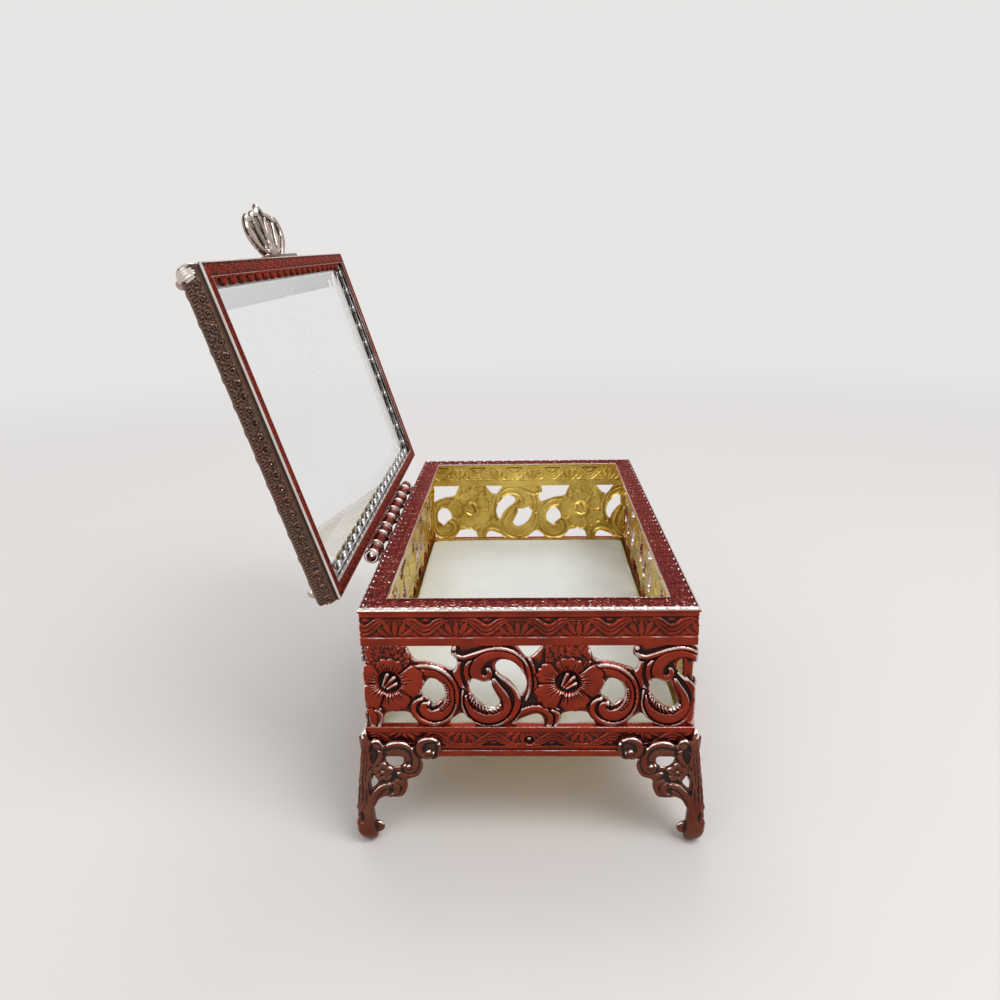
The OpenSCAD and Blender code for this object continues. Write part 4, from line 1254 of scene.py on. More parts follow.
def build_hinge_leaf(lid):
    """The knuckles of the box or of the lid, with their tongues, webs and strip."""
    s = sizes()
    y = s.box_width / 2
    z = s.rim_top
    sign = 1 if lid else -1
    strip = z + sign * (1.8 + s.lid_gap)
    strip_end = s.lid_top - 0.5 if lid else strip - 4.5
    last = 3 if lid else 4
    parts = []
    for i in range(last + 1):
        x = -HINGE_LONG / 2 + i * KNUCKLE_PITCH + (BOX_KNUCKLE if lid else 0)
        end = x + (LID_KNUCKLE if lid else BOX_KNUCKLE)
        if lid or i > 0:
            x += s.lid_gap / 2
        if lid or i < last:
            end -= s.lid_gap / 2
        tongue = sorted((z + sign * s.lid_gap, strip + sign * LEAF))
        web = sorted((z + sign * 0.75, z + sign * 1.5))
        parts.append(knuckle(x, end - x, LID_RING if lid else BOX_RING))
        parts.append(block("tongue", (x, y, tongue[0]), (end, y + LEAF, tongue[1]), 0.12))
        parts.append(block("web", (x + 0.9, y + 0.1, web[0]), (end, s.hinge_y, web[1]), 0.15))
    low, high = sorted((strip, strip_end))
    parts.append(block("strip", (-HINGE_LONG / 2, y, low), (HINGE_LONG / 2, y + LEAF, high), 0.15))
    piece = joined("hinge_barrel_lid" if lid else "hinge_barrel_box", parts)
    return swing(piece) if lid else piece


def build_hinge_pin():
    s = sizes()
    end = HINGE_LONG / 2
    ball = [(1.57 * math.cos(t) + 0.03, 1.2 * math.sin(t)) for t in np.linspace(0, 0.62 * math.pi, 10)]
    half = [(end + max(along, 0.02), radius) for along, radius in ball] + [(end + 0.02, 0.7)]
    profile = half + [(-along, radius) for along, radius in reversed(half)]
    return turned("hinge_pin_turned", profile, (0, s.hinge_y, s.rim_top), 0, closed=False)


# Lid fittings


def build_beads():
    """A low domed bead on a collar at each corner of the lid."""
    s = sizes()
    profile = [(1.8, 0), (1.74, 0.35), (1.55, 0.72), (1.2, 1.03), (0.8, 1.2), (0.45, 1.24), (0.3, 1.16),
               (0.22, 1.2), (0.12, 1.18), (0.0, 1.1), (0.0, 0)]
    parts = []
    for x_sign, y_sign in CORNERS.values():
        middle = (x_sign * (s.box_length / 2 - 2.4), y_sign * (s.box_width / 2 - 2.4), s.lid_top)
        parts.append(turned("bead", profile, middle, 2, steps=28, closed=False))
    return swing(joined("corner_beads", parts))


def build_corner_knobs():
    """A ribbed rounded knob over each free corner of the lid frame."""
    s = sizes()
    parts = []
    for side in (-1, 1):
        place = Vector((side * (s.box_length / 2 - 1.35), -s.box_width / 2 + 1.35, s.lid_top - 1.6))
        knob = fresh("corner_knob", bpy.ops.mesh.primitive_uv_sphere_add, segments=96, ring_count=48,
                     radius=MM, location=place * MM)
        set_place(knob)
        at = points_of(knob) - np.array(place)
        turn = np.arctan2(at[:, 1], at[:, 0])
        flat = np.hypot(at[:, 0], at[:, 1])
        ribs = 1 + 0.035 * np.cos(16 * turn + 5.0 * at[:, 2]) * ease(flat, 0.3, 0.8)
        at = at * np.array([1.85, 1.85, 2.3]) * ribs[:, None]
        set_points(knob, at + np.array(place))
        parts.append(knob)
    return swing(joined("corner_knobs", parts))


def build_teeth(wall):
    """The strip of rounded teeth under the glass along one side of the lid."""
    half = wall_length(wall) / 2
    inner, root, r, pitch = 1.2, 3.15, 1.4, 5.6
    count = math.floor((2 * half - 2 * (root + 1.9)) / pitch)
    line = [(inner - half, inner), (half - inner, inner), (half - root, root)]
    for i in range(count, -1, -1):
        middle = (i - count / 2) * pitch
        line += [(middle + r * math.cos(t), root + r * math.sin(t)) for t in np.linspace(0, math.pi, 19)]
    line += [(root - half, root), line[0]]
    piece = cut_sheet("glass_teeth_" + WALLS[wall], (-half, inner - 0.2), (half, root + r + 0.2), 0.2,
                      np.array(line), [])

    def carve(u, v):
        near = (u / pitch + count / 2 + 0.5) % 1 - 0.5
        gap = np.hypot(near * pitch, np.maximum(v - root, 0) * 1.05)
        tooth = 0.32 * dome(gap / (r + 0.25))
        crease = 0.12 * ridge(near * pitch / 0.16) * ease(v, root - 0.6, root + 0.8)
        return tooth * (np.abs(u) < half - 4) - crease - 0.1

    carved_sheet(piece, carve, 0.5, back=0.0, soften=0.25)
    flat = points_of(piece)
    set_points(piece, on_wall(wall, flat[:, 0], flat[:, 1], sizes().lid_foot + 1.2 - flat[:, 2]))
    outward(piece)
    return swing(piece)


# Pull

PULL_LINE = (
    (6, 0.5), (8.6, 2), (11.7, 3.8), (13.7, 6.1), (13.9, 8.4), (12.5, 10.4), (10.2, 11.2), (8.2, 10.9),
    (6.6, 11.7), (4.4, 12), (2.6, 11.8), (1.4, 12.8),
)
PULL_OPENINGS = (
    ((6.4, 3.6), (9.2, 4.9), (11.4, 6.8), (11.5, 8.6), (10, 9.2), (8.4, 8), (7, 5.8)),
    ((1.9, 4.4), (3.8, 5.8), (5.4, 8.2), (5.8, 9.9), (4.6, 10.2), (3, 8.6), (1.7, 6.2)),
)
PULL_REACH = 13.9
PLATE_THICK = 0.9


def carve_pull(u, v):
    carving = Carving(np.abs(u), v, -0.2)
    band = carving.band
    band(((2.2, 3.2), (3.4, 1.9), (4.6, 2.4), (4.4, 3.8)), (0.9, 1.0, 1.0, 0.8), height=0.2, base=-0.2)
    band(((2.6, 4.6), (3.9, 6.3), (4.9, 8.6)), (0.5, 0.8, 0.5), height=0.1, base=-0.2)
    band(((6.3, 1.6), (5.2, 3.4), (5.9, 5.6), (7, 7.6), (7.6, 9.3)), (1.3, 1.2, 1.2, 1.1, 0.9),
         height=0.36, base=-0.15)
    band(((1.0, 1.4), (0.9, 4), (1.0, 7), (2, 9.6), (3.2, 10.8)), (1.7, 1.4, 1.4, 1.3, 0.9),
         height=0.38, base=-0.15)
    band(((6.2, 1.2), (9, 2.7), (12, 5), (12.9, 7.4), (12, 9.4), (10, 10.3), (8, 9.9), (6.8, 10.6),
          (4.8, 11.2), (2.8, 11.2), (1.2, 12.2), (0.3, 13.4)),
         (1.4, 1.6, 1.9, 2.0, 1.9, 1.6, 1.3, 1.2, 1.3, 1.2, 1.2, 0.6), height=0.44, base=-0.15)
    carving.bead(9.9, 9.7, 0.75, 0.42)
    carving.bead(0.0, 12.8, 0.7, 0.46)
    return carving.h


def build_pull():
    """The openwork pull on the lid's free rail, with its bevelled foot plate."""
    s = sizes()
    half = smooth_line(PULL_LINE, steps=4)
    outer = np.vstack([half, [(0, PULL_REACH)], half[::-1] * np.array([-1, 1]), half[:1]])
    holes = []
    for opening in PULL_OPENINGS:
        line = smooth_line(opening, closed=True, steps=4)
        holes += [line, line * np.array([-1, 1])]
    grille = cut_sheet("lid_pull", (-14.0, 0.4), (14.0, PULL_REACH), 0.14, outer, holes)
    carved_sheet(grille, carve_pull, 0.9, face=0.4, soften=0.4, twin=True)
    flat = points_of(grille)
    y = -s.box_width / 2
    set_points(grille, np.stack([flat[:, 0], y - flat[:, 1], s.lid_foot + 3.6 + flat[:, 2]], -1))
    outward(grille)
    low = (-11.5, y - PLATE_THICK, s.lid_foot + 1.0)
    high = (11.5, y, s.lid_foot + 4.4)
    plate = block("pull_foot_plate", low, high, 0.2)
    return swing(grille), swing(plate)


def build_pull_rivets():
    s = sizes()
    profile = [(-0.45, 0), (-0.43, 0.3), (-0.34, 0.6), (-0.18, 0.84), (-0.03, 0.93), (0.02, 0.9),
               (0.02, 0.5), (2.1, 0.5), (2.1, 0)]
    parts = []
    for x in (-9.7, 9.7):
        place = (x, -s.box_width / 2 - PLATE_THICK, s.lid_foot + 2.7)
        parts.append(turned("pull_rivet", profile, place, 1, steps=24, closed=False))
    return swing(joined("pull_rivet_pair", parts))


def build_base_rivets():
    """The rivet in the middle of each lower rail, with its dome at the bottom of a sunk pit."""
    s = sizes()
    z = (s.rail_foot + FOOT_FILLET + s.panel_foot - TOP_FILLET) / 2
    profile = [(0.72, 0), (0.76, 0.25), (0.9, 0.46), (1.1, 0.6), (3.2, 0.6), (3.2, 1.1), (3.6, 1.0),
               (3.7, 0.6), (3.7, 0)]
    parts = []
    for wall in range(4):
        rivet = turned("base_rivet", profile, (0, 0, 0), 1, steps=24, closed=False)
        at = points_of(rivet)
        set_points(rivet, on_wall(wall, at[:, 0], at[:, 1], z + at[:, 2]))
        parts.append(rivet)
    return joined("base_rivet_set", parts)


# Pad: how far the lower rails and the panels reach inwards from the rim's edge, where they hold the pad
RAIL_INNER = 1.97
PANEL_INNER = 1.6


def build_pad():
    """A thin felt pad, swollen by a short cloth simulation and held to the room between the walls."""
    s = sizes()
    low, high = (np.array(end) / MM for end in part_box("pad"))
    trim = 0.5
    body = block("felt_pad", low + trim * np.array([1, 1, 0.6]), high - trim * np.array([1, 1, 0.9]), 1.6)
    body.data.remesh_voxel_size = 1.4 * MM
    take(body)
    bpy.ops.object.voxel_remesh()
    swell(body)
    at = points_of(body)
    u = np.clip(np.abs(at[:, 0]) / (high[0] - 0.4), 0, 1)
    v = np.clip(np.abs(at[:, 1]) / (high[1] - 0.4), 0, 1)
    top = ease(at[:, 2], low[2] + 2, high[2] - 1)
    crown = s.pad_crown * (1 - u**4) * (1 - v**4)
    soft = 0.12 * np.sin(at[:, 0] / 9.1 + 0.7) * np.sin(at[:, 1] / 7.3 + 0.4)
    at[:, 2] += top * (crown + 0.1 + soft)
    at = np.clip(at, low + 0.05, high + np.array([-0.05, -0.05, 0.9]))
    over = ease(at[:, 2], low[2] + 3.1, low[2] + 3.9)
    wall = RAIL_INNER - (RAIL_INNER - PANEL_INNER) * ease(at[:, 2], high[2] - 0.1, high[2] + 0.2)
    for axis, room in enumerate((s.box_length, s.box_width)):
        side = np.abs(at[:, axis])
        reach = side.max()
        lap = room / 2 - wall - reach
        gain = (reach - side) * 0.65 * (1 - ease(reach - side, 0, 4)) + lap * ease(side, 0.3 * reach, reach)
        at[:, axis] += np.sign(at[:, axis]) * gain * over
    set_points(body, at)
    apply_modifier(body, "SUBSURF", levels=1, render_levels=1)
    return body


def swell(body):
    """Blows the pad up a little against its own cloth and writes the result into its mesh."""
    start = points_of(body)
    take(body)
    bpy.ops.object.modifier_add(type="CLOTH")
    cloth = body.modifiers[-1]
    cloth.settings.use_pressure = True
    cloth.settings.uniform_pressure_force = 4.0
    cloth.settings.effector_weights.gravity = 0.0
    for step in range(1, 13):
        bpy.context.scene.frame_set(step)
    shaped = body.evaluated_get(bpy.context.evaluated_depsgraph_get())
    moved = points_of(shaped) - start
    far = np.linalg.norm(moved, axis=1, keepdims=True)
    body.modifiers.remove(cloth)
    bpy.context.scene.frame_set(1)
    set_points(body, start + moved * np.minimum(1, 0.6 / np.maximum(far, 1e-9)))


# Materials

# The tone of the world, and its strength where it is seen and where it lights
PALE_WORLD = (1.0, 0.985, 0.975, 1.0)
SEEN_STRENGTH = 0.8
LIT_STRENGTH = 0.5

# Tint of a metal's gloss at low angles; the red one paints a red reflection into it
RED_REFLECTION_EDGE = (1.0, 0.55, 0.53, 1.0)
PLAIN_EDGE = (1.0, 1.0, 1.0, 1.0)

# Scales of the noise in a metal, per metre: broad blotches and fine grain
BLOTCHES = 150.0
GRAIN = 1500.0


class Flow:
    """The output of a node, with which sums are written as expressions."""

    def __init__(self, finish, output):
        self.finish = finish
        self.output = output

    def worked(self, operation, first, second):
        return self.finish.node("ShaderNodeMath", {"operation": operation}, {0: first, 1: second})

    def __add__(self, other):
        return self.worked("ADD", self, other)

    def __radd__(self, other):
        return self.worked("ADD", other, self)

    def __sub__(self, other):
        return self.worked("SUBTRACT", self, other)

    def __rsub__(self, other):
        return self.worked("SUBTRACT", other, self)

    def __mul__(self, other):
        return self.worked("MULTIPLY", self, other)

    def __rmul__(self, other):
        return self.worked("MULTIPLY", other, self)

    def held(self):
        """Kept between 0 and 1."""
        return self.finish.node("ShaderNodeClamp", {}, {0: self})


class Finish:
    """The nodes of a material or a world, and the one way in which they are added."""

    def __init__(self, owner):
        owner.use_nodes = True
        self.owner = owner
        self.tree = owner.node_tree
        self.tree.nodes.clear()

    def node(self, kind, settings=None, values=None, output=0):
        made = self.tree.nodes.new(kind)
        for key, value in (settings or {}).items():
            setattr(made, key, value)
        for socket, value in (values or {}).items():
            if isinstance(value, Flow):
                self.tree.links.new(value.output, made.inputs[socket])
            else:
                made.inputs[socket].default_value = value
        return Flow(self, made.outputs[output]) if made.outputs else None

    def mixed(self, share, first, second):
        """Colours from first, at 0, to second, at 1."""
        return self.node("ShaderNodeMix", {"data_type": "RGBA"}, {0: share, 6: first, 7: second}, output=2)

    def place(self):
        return self.node("ShaderNodeTexCoord", output=3)

    def noise(self, scale, detail=3.0, rough=0.55):
        values = {"Vector": self.place(), "Scale": scale, "Detail": detail, "Roughness": rough}
        return self.node("ShaderNodeTexNoise", {}, values)

    def bump(self, height, strength, distance):
        return self.node("ShaderNodeBump", {}, {"Height": height, "Strength": strength, "Distance": distance})

    def principled(self, values):
        return self.node("ShaderNodeBsdfPrincipled", {}, values)

    def ended(self, shader):
        self.node("ShaderNodeOutputMaterial", {}, {"Surface": shader})
        return self.owner


def new_finish(name):
    return Finish(bpy.data.materials.new(name))


def full(colour_property):
    return (*colour_property, 1.0)


def metal(name, base, deep, worn_and_highlight, dark=1.0, rub=1.0, rough=0.3, edge=PLAIN_EDGE):
    """Cast metal in blotches of two tones, darkened in its hollows by dark, and paled on its edges by the rub
    setting, partly as wear and partly as a painted highlight where they face up.
    """
    finish = new_finish(name)
    hollow_and_top_light = finish.node("ShaderNodeAttribute", {"attribute_name": "hollow_and_top_light"}, output=2)
    blotch = finish.noise(BLOTCHES, 4.0) - 0.5
    fine = finish.noise(GRAIN, 4.0, 0.65) - 0.5
    recess = ((hollow_and_top_light + fine * 0.4 + blotch * 0.4) * (1.2 * dark) + (0.1 * dark - 0.1)).held()
    # Pale edges: wear on the crests, plus a painted highlight on what faces up, from the stored marks
    wear_and_highlight = (blotch * 0.9 - hollow_and_top_light * 0.9 + fine * 0.6 - 0.85).held() * (2.0 * rub)
    tone = finish.mixed((blotch * 2.2 + 0.45).held(), full(base), full(deep))
    tone = finish.mixed((recess * 1.1).held(), tone, full(colours().patina))
    tone = finish.mixed(wear_and_highlight.held(), tone, full(worn_and_highlight))
    return finish.ended(finish.principled({
        "Base Color": tone,
        "Metallic": 1.0 - recess * 0.55,
        "Roughness": (rough + recess * 0.32 + fine * 0.25 - wear_and_highlight * 0.06).held(),
        "Specular Tint": edge,
        "Normal": finish.bump(fine, 0.25, 0.00012),
    }))


# Each metal's base, deep and pale-edge colour, and how else it differs from plain cast metal. The pale edge
# is wear and painted highlight together.
METALS = {
    "aged_gilt": ("gilt", "gilt_deep_red_reflection", "worn_and_highlight", {"rub": 0.7, "edge": RED_REFLECTION_EDGE}),
    # The flange rubs hard: its pale crests are painted glints on the crumbs as much as wear
    "deep_gilt": ("maroon", "gilt_deep_red_reflection", "worn_and_highlight", {"dark": 0.7, "rub": 2.2, "rough": 0.17, "edge": RED_REFLECTION_EDGE}),
    "bright_gilt": ("inner", "inner_deep", "inner_worn", {"dark": 0.3, "rub": 0.3, "rough": 0.26}),
    "browned_gilt": ("brown", "gilt_deep_red_reflection", "worn_and_highlight", {"rough": 0.26}),
    "dark_bronze": ("bronze", "brown", "worn_and_highlight", {"dark": 0.9, "rub": 0.8}),
    "maroon_bronze": ("maroon", "brown", "worn_and_highlight", {"dark": 0.8, "rub": 0.7, "rough": 0.2, "edge": RED_REFLECTION_EDGE}),
    "pale_brass": ("pale", "brown", "worn_and_highlight", {"dark": 0.9, "rough": 0.2}),
    # A pale silvery metal that paints highlights: on the rim's top edge, the lid's side lips and the corner
    # knobs
    "pale_strip": ("worn_and_highlight", "pale", "worn_and_highlight", {"dark": 0.35, "rub": 0.5, "rough": 0.22}),
    "dull_silver": ("silver", "silver", "worn_and_highlight", {"dark": 0.5, "rub": 0.5, "rough": 0.34}),
}


def felt(name):
    """Off-white felt: short fibres that lie in every direction, faint blotches and a soft sheen."""
    cloth = colours().cloth
    finish = new_finish(name)
    cloud = finish.noise(90.0, 3.0)
    fibre = finish.noise(2600.0, 5.0, 0.7)
    stretched = finish.node("ShaderNodeMapping", {},
                            {"Vector": finish.place(), "Scale": (900.0, 3200.0, 900.0)})
    strand = finish.node("ShaderNodeTexNoise", {}, {"Vector": stretched, "Scale": 1.0, "Detail": 3.0})
    pile = fibre * 0.6 + strand * 0.4
    shade = tuple(0.8 * part for part in cloth)
    tone = finish.mixed(((cloud - 0.5) * 0.8 + (pile - 0.5) * 1.8 + 0.3).held(), full(cloth), full(shade))
    return finish.ended(finish.principled({
        "Base Color": tone,
        "Roughness": 0.95,
        "Sheen Weight": 0.25,
        "Sheen Roughness": 0.5,
        "Normal": finish.bump(pile, 0.6, 0.0003),
    }))


def dusty_glass(name):
    """Clear glass with faint dust specks on it."""
    finish = new_finish(name)
    speck = finish.node("ShaderNodeTexVoronoi", {},
                        {"Vector": finish.place(), "Scale": 900.0, "Randomness": 1.0})
    patch = finish.noise(60.0, 3.0)
    dust = ((0.26 - speck) * 9.0).held() * ((patch - 0.5) * 5.0).held()
    pane = finish.principled({
        "Base Color": full(colours().glass),
        "Roughness": 0.02,
        "IOR": 1.5,
        "Transmission Weight": 1.0,
    })
    grit = finish.node("ShaderNodeBsdfDiffuse", {}, {"Color": (0.9, 0.9, 0.9, 1.0), "Roughness": 1.0})
    return finish.ended(finish.node("ShaderNodeMixShader", {}, {0: dust * 0.8, 1: pane, 2: grit}))


def pale_floor(name):
    """A pale floor that turns far out into the tone of the world behind it."""
    pale = colours().floor
    finish = new_finish(name)
    cloud = finish.noise(6.0, 2.0)
    shade = tuple(0.97 * part for part in pale)
    far = finish.node("ShaderNodeVectorMath", {"operation": "LENGTH"}, {0: finish.place()}, output=1)
    share = finish.node("ShaderNodeMapRange", {"interpolation_type": "SMOOTHSTEP"},
                        {"Value": far, "From Min": 0.15, "From Max": 0.75})
    near = finish.principled({"Base Color": finish.mixed(cloud, full(pale), full(shade)), "Roughness": 0.75})
    distant = finish.node("ShaderNodeEmission", {}, {"Color": PALE_WORLD, "Strength": SEEN_STRENGTH})
    return finish.ended(finish.node("ShaderNodeMixShader", {}, {0: share, 1: near, 2: distant}))


OTHER_FINISHES = {"felt": felt, "clear_glass_pane": dusty_glass, "pale_floor": pale_floor}


def material(name):
    """The finish of this name, made when it is first asked for."""
    if name in bpy.data.materials:
        return bpy.data.materials[name]
    if name in OTHER_FINISHES:
        return OTHER_FINISHES[name](name)
    *tones, settings = METALS[name]
    return metal(name, *(getattr(colours(), tone) for tone in tones), **settings)


# Operators


class OBJECT_OT_casket_panels(bpy.types.Operator):
    """Pierced panels of the four walls, with their flowers and scrolls"""

    bl_idname = "object.casket_panels"
    bl_label = "Pierced panels"
    bl_options = {"REGISTER", "UNDO"}

    def execute(self, context):
        for wall, side in enumerate(WALLS):
            finish_piece(build_panel(wall), "box", "antique_gilt", ("aged_gilt", "bright_gilt"),
                         ("panel_" + side,), angle=50, rounds=12, least=-1.5)
        return {"FINISHED"}


class OBJECT_OT_casket_rims(bpy.types.Operator):
    """Four mitred rails of the rim, with the wave band and the carved flange"""

    bl_idname = "object.casket_rims"
    bl_label = "Rim rails"
    bl_options = {"REGISTER", "UNDO"}

    def execute(self, context):
        for wall, side in enumerate(WALLS):
            # The rim's outer top edge is painted pale, a highlight line
            finishes = ("aged_gilt", "bright_gilt", "deep_gilt", "pale_strip")
            finish_piece(build_rim(wall), "box", "antique_gilt", finishes, ("rim_" + side,), rounds=4,
                         scale=0.08, least=-1.3)
        return {"FINISHED"}


class OBJECT_OT_casket_base_rails(bpy.types.Operator):
    """Four mitred rails under the panels, with their carved band"""

    bl_idname = "object.casket_base_rails"
    bl_label = "Lower rails"
    bl_options = {"REGISTER", "UNDO"}

    def execute(self, context):
        for wall, side in enumerate(WALLS):
            finish_piece(build_lower_rail(wall), "box", "antique_gilt", ("aged_gilt", "bright_gilt"),
                         ("lower_rail_" + side,), rounds=4, scale=0.08, least=-1.1)
        return {"FINISHED"}


class OBJECT_OT_casket_lid_rails(bpy.types.Operator):
    """Four mitred rails of the lid frame, swung open"""

    bl_idname = "object.casket_lid_rails"
    bl_label = "Lid frame"
    bl_options = {"REGISTER", "UNDO"}

    def execute(self, context):
        for wall, side in enumerate(WALLS):
            # The side rails' lip is painted pale, a highlight; the front and back rails' lip stays dark
            # bronze
            lip = "pale_strip" if wall % 2 else "dark_bronze"
            finishes = ("dark_bronze", "dark_bronze", "aged_gilt", lip)
            finish_piece(build_lid_rail(wall), "lid", "worn_gilt", finishes, ("lid_rail_" + side,), rounds=4,
                         least=-1.5)
        return {"FINISHED"}


class OBJECT_OT_casket_feet(bpy.types.Operator):
    """Four cast corner feet"""

    bl_idname = "object.casket_feet"
    bl_label = "Feet"
    bl_options = {"REGISTER", "UNDO"}

    def execute(self, context):
        pattern = build_foot()
        at = points_of(pattern)
        for corner, (x_sign, y_sign) in CORNERS.items():
            take(pattern)
            bpy.ops.object.duplicate()
            foot = named("cast_foot_" + corner)
            set_points(foot, at * np.array([-x_sign, -y_sign, 1]))
            if x_sign != y_sign:
                edit_all(foot)
                bpy.ops.mesh.flip_normals()
                bpy.ops.object.mode_set(mode="OBJECT")
            finish_piece(foot, "box", "worn_gilt", ("browned_gilt",), ("foot_" + corner,), angle=60, rounds=8)
        take(pattern)
        bpy.ops.object.delete()
        return {"FINISHED"}


class OBJECT_OT_casket_hinge(bpy.types.Operator):
    """Ringed knuckles with their strips, and the pin with ball ends"""

    bl_idname = "object.casket_hinge"
    bl_label = "Hinge"
    bl_options = {"REGISTER", "UNDO"}

    def execute(self, context):
        for piece, body, node in (
            (build_hinge_leaf(False), "box", "hinge_leaf_box"),
            (build_hinge_leaf(True), "lid", "hinge_leaf_lid"),
            (build_hinge_pin(), "box", "hinge_pin"),
        ):
            finish_piece(piece, body, "pale_metal", ("maroon_bronze",), (node,), angle=35, rounds=2,
                         scale=0.04)
        return {"FINISHED"}


class OBJECT_OT_casket_teeth(bpy.types.Operator):
    """Strips of rounded teeth that hold the glass from below"""

    bl_idname = "object.casket_teeth"
    bl_label = "Glass teeth"
    bl_options = {"REGISTER", "UNDO"}

    def execute(self, context):
        for wall, side in enumerate(WALLS):
            finishes = ("dull_silver",) if wall else ("aged_gilt",)
            finish_piece(build_teeth(wall), "lid", "pale_metal", finishes, ("scallops_" + side,), angle=60,
                         rounds=2)
        return {"FINISHED"}


class OBJECT_OT_casket_pane(bpy.types.Operator):
    """Bevelled pane: the frame's own solid with clear glass on it"""

    bl_idname = "object.casket_pane"
    bl_label = "Glass pane"
    bl_options = {"REGISTER", "UNDO"}

    def execute(self, context):
        dress("glass_pane", "clear_glass_pane")
        return {"FINISHED"}


class OBJECT_OT_casket_pan(bpy.types.Operator):
    """Base pan: the frame's own solid with the inner gilt on it"""

    bl_idname = "object.casket_pan"
    bl_label = "Base pan"
    bl_options = {"REGISTER", "UNDO"}

    def execute(self, context):
        dress("base_pan", "bright_gilt")
        return {"FINISHED"}


class OBJECT_OT_casket_beads(bpy.types.Operator):
    """Beads on the lid's corners"""

    bl_idname = "object.casket_beads"
    bl_label = "Corner beads"
    bl_options = {"REGISTER", "UNDO"}

    def execute(self, context):
        finish_piece(build_beads(), "lid", "worn_gilt", ("pale_brass",), ("lid_beads",), rounds=3)
        # The corner knobs are painted pale, a highlight
        finish_piece(build_corner_knobs(), "lid", "worn_gilt", ("pale_strip",), rounds=3)
        return {"FINISHED"}


class OBJECT_OT_casket_pull(bpy.types.Operator):
    """Openwork pull and the two rivets of its foot plate"""

    bl_idname = "object.casket_pull"
    bl_label = "Pull"
    bl_options = {"REGISTER", "UNDO"}

    def execute(self, context):
        pull, plate = build_pull()
        finish_piece(pull, "lid", "pale_metal", ("pale_brass",), ("pull",), angle=50, rounds=6)
        finish_piece(plate, "lid", "pale_metal", ("dark_bronze",), rounds=1)
        finish_piece(build_pull_rivets(), "lid", "pale_metal", ("pale_brass",), ("pull_rivets",), rounds=2)
        return {"FINISHED"}


class OBJECT_OT_casket_rivets(bpy.types.Operator):
    """Rivets through the lower rails into the pan"""

    bl_idname = "object.casket_rivets"
    bl_label = "Base rivets"
    bl_options = {"REGISTER", "UNDO"}

    def execute(self, context):
        finish_piece(build_base_rivets(), "box", "pale_metal", ("dark_bronze",), ("base_rivets",), rounds=2)
        return {"FINISHED"}


class OBJECT_OT_casket_pad(bpy.types.Operator):
    """Felt pad on the floor of the box"""

    bl_idname = "object.casket_pad"
    bl_label = "Pad"
    bl_options = {"REGISTER", "UNDO"}

    def execute(self, context):
        pad = build_pad()
        finish_piece(pad, "box", "pad_cloth", ("felt",), ("pad",), angle=180, rounds=1)
        return {"FINISHED"}


# The stage: lamps with their place in metres and power in watts, and the camera's place and lens in
# millimetres and its yaw, pitch and roll in degrees
LAMPS = (
    ("key_lamp", (-0.35, -0.35, 0.75), 3.5),
    ("fill_lamp", (-0.75, 0.35, 0.35), 1.2),
    ("back_lamp", (0.5, 0.1, 0.8), 1.8),
)
LAMP_SIZE = 0.5
BOX_MIDDLE = (0, 0, 0.045)
CAMERA_PLACE = (-213.577, -0.024, 122.410)
CAMERA_TURN = (1.910, 16.850, -1.061)
CAMERA_LENS = 30.6
CAMERA_SENSOR = 36.0


class SCENE_OT_casket_stage(bpy.types.Operator):
    """Pale floor, soft lamps, plain world and the camera"""

    bl_idname = "scene.casket_stage"
    bl_label = "Stage"
    bl_options = {"REGISTER", "UNDO"}

    def execute(self, context):
        scene = context.scene
        scene.view_settings.view_transform = "Standard"
        floor = fresh("floor", bpy.ops.mesh.primitive_circle_add, vertices=96, radius=4.0, fill_type="NGON",
                      location=(0, 0, -0.0002))
        floor.data.materials.append(material("pale_floor"))
        plain_world(scene)
        for name, place, power in LAMPS:
            lamp(name, place, power)
        place_camera(scene)
        return {"FINISHED"}


def plain_world(scene):
    """A pale world: what the camera, gloss and glass see is a little brighter than what lights the object."""
    scene.world = bpy.data.worlds.new("pale_world")
    finish = Finish(scene.world)
    camera, gloss, glass = (
        finish.node("ShaderNodeLightPath", output=ray)
        for ray in ("Is Camera Ray", "Is Glossy Ray", "Is Transmission Ray")
    )
    seen = (camera + (gloss + glass).held()).held()
    strength = seen * (SEEN_STRENGTH - LIT_STRENGTH) + LIT_STRENGTH
    shader = finish.node("ShaderNodeBackground", {}, {"Color": PALE_WORLD, "Strength": strength})
    finish.node("ShaderNodeOutputWorld", {}, {"Surface": shader})


def lamp(name, place, power):
    """A square soft lamp that faces the middle of the box."""
    light = fresh(name, bpy.ops.object.light_add, type="AREA", location=place)
    light.data.shape = "SQUARE"
    light.data.size = LAMP_SIZE
    light.data.energy = power
    light.rotation_euler = (Vector(BOX_MIDDLE) - Vector(place)).to_track_quat("-Z", "Y").to_euler()


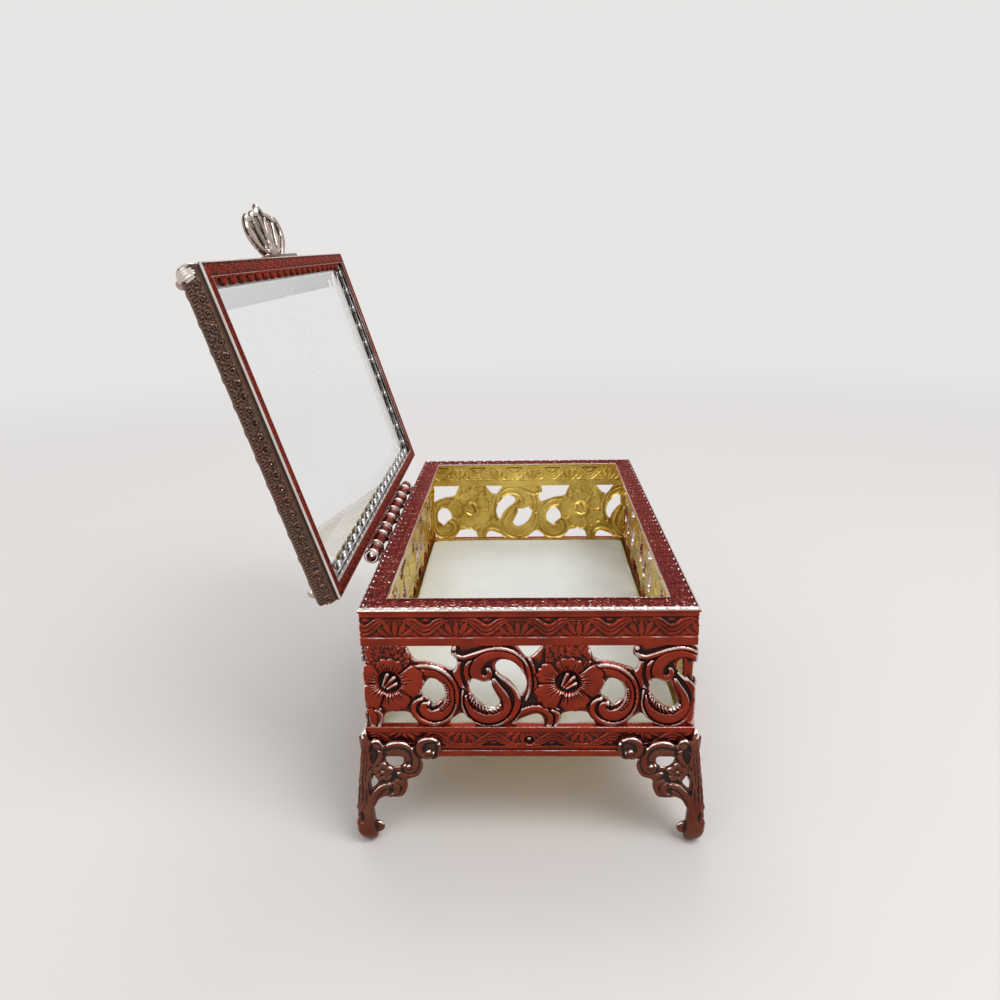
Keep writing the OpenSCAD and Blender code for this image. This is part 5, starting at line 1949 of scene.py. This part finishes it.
def place_camera(scene):
    """The camera at the photograph's place, yaw, pitch, roll and lens."""
    yaw, pitch, roll = (math.radians(value) for value in CAMERA_TURN)
    forward = Vector((math.cos(yaw) * math.cos(pitch), math.sin(yaw) * math.cos(pitch), -math.sin(pitch)))
    right = forward.cross(Vector((0, 0, 1))).normalized()
    up = right.cross(forward)
    turned_right = right * math.cos(roll) + up * math.sin(roll)
    turned_up = up * math.cos(roll) - right * math.sin(roll)
    camera = fresh("casket_camera", bpy.ops.object.camera_add)
    place = Matrix.Translation(Vector(CAMERA_PLACE) * MM)
    camera.matrix_world = place @ Matrix((turned_right, turned_up, -forward)).transposed().to_4x4()
    camera.data.lens = CAMERA_LENS
    camera.data.sensor_width = CAMERA_SENSOR
    camera.data.clip_start = 0.01
    camera.data.clip_end = 20.0
    scene.camera = camera


class VIEW3D_PT_casket(bpy.types.Panel):
    """Buttons that build each part of the casket box"""

    bl_idname = "VIEW3D_PT_casket"
    bl_label = "Glass casket box"
    bl_space_type = "VIEW_3D"
    bl_region_type = "UI"
    bl_category = "Casket"

    def draw(self, context):
        for kind in PIECE_OPERATORS:
            self.layout.operator(kind.bl_idname)


PIECE_OPERATORS = (
    OBJECT_OT_casket_panels,
    OBJECT_OT_casket_rims,
    OBJECT_OT_casket_base_rails,
    OBJECT_OT_casket_lid_rails,
    OBJECT_OT_casket_feet,
    OBJECT_OT_casket_hinge,
    OBJECT_OT_casket_teeth,
    OBJECT_OT_casket_pane,
    OBJECT_OT_casket_beads,
    OBJECT_OT_casket_pull,
    OBJECT_OT_casket_rivets,
    OBJECT_OT_casket_pan,
    OBJECT_OT_casket_pad,
    SCENE_OT_casket_stage,
)
CLASSES = (CasketSizes, CasketColours, *PIECE_OPERATORS, VIEW3D_PT_casket)


def register():
    for kind in CLASSES:
        bpy.utils.register_class(kind)
    bpy.types.Scene.casket_sizes = bpy.props.PointerProperty(type=CasketSizes)
    bpy.types.Scene.casket_colours = bpy.props.PointerProperty(type=CasketColours)


def unregister():
    del bpy.types.Scene.casket_colours
    del bpy.types.Scene.casket_sizes
    for kind in reversed(CLASSES):
        bpy.utils.unregister_class(kind)


def main():
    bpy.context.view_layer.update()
    register()
    for kind in PIECE_OPERATORS:
        group, name = kind.bl_idname.split(".")
        getattr(getattr(bpy.ops, group), name)()


if __name__ == "__main__":
    main()
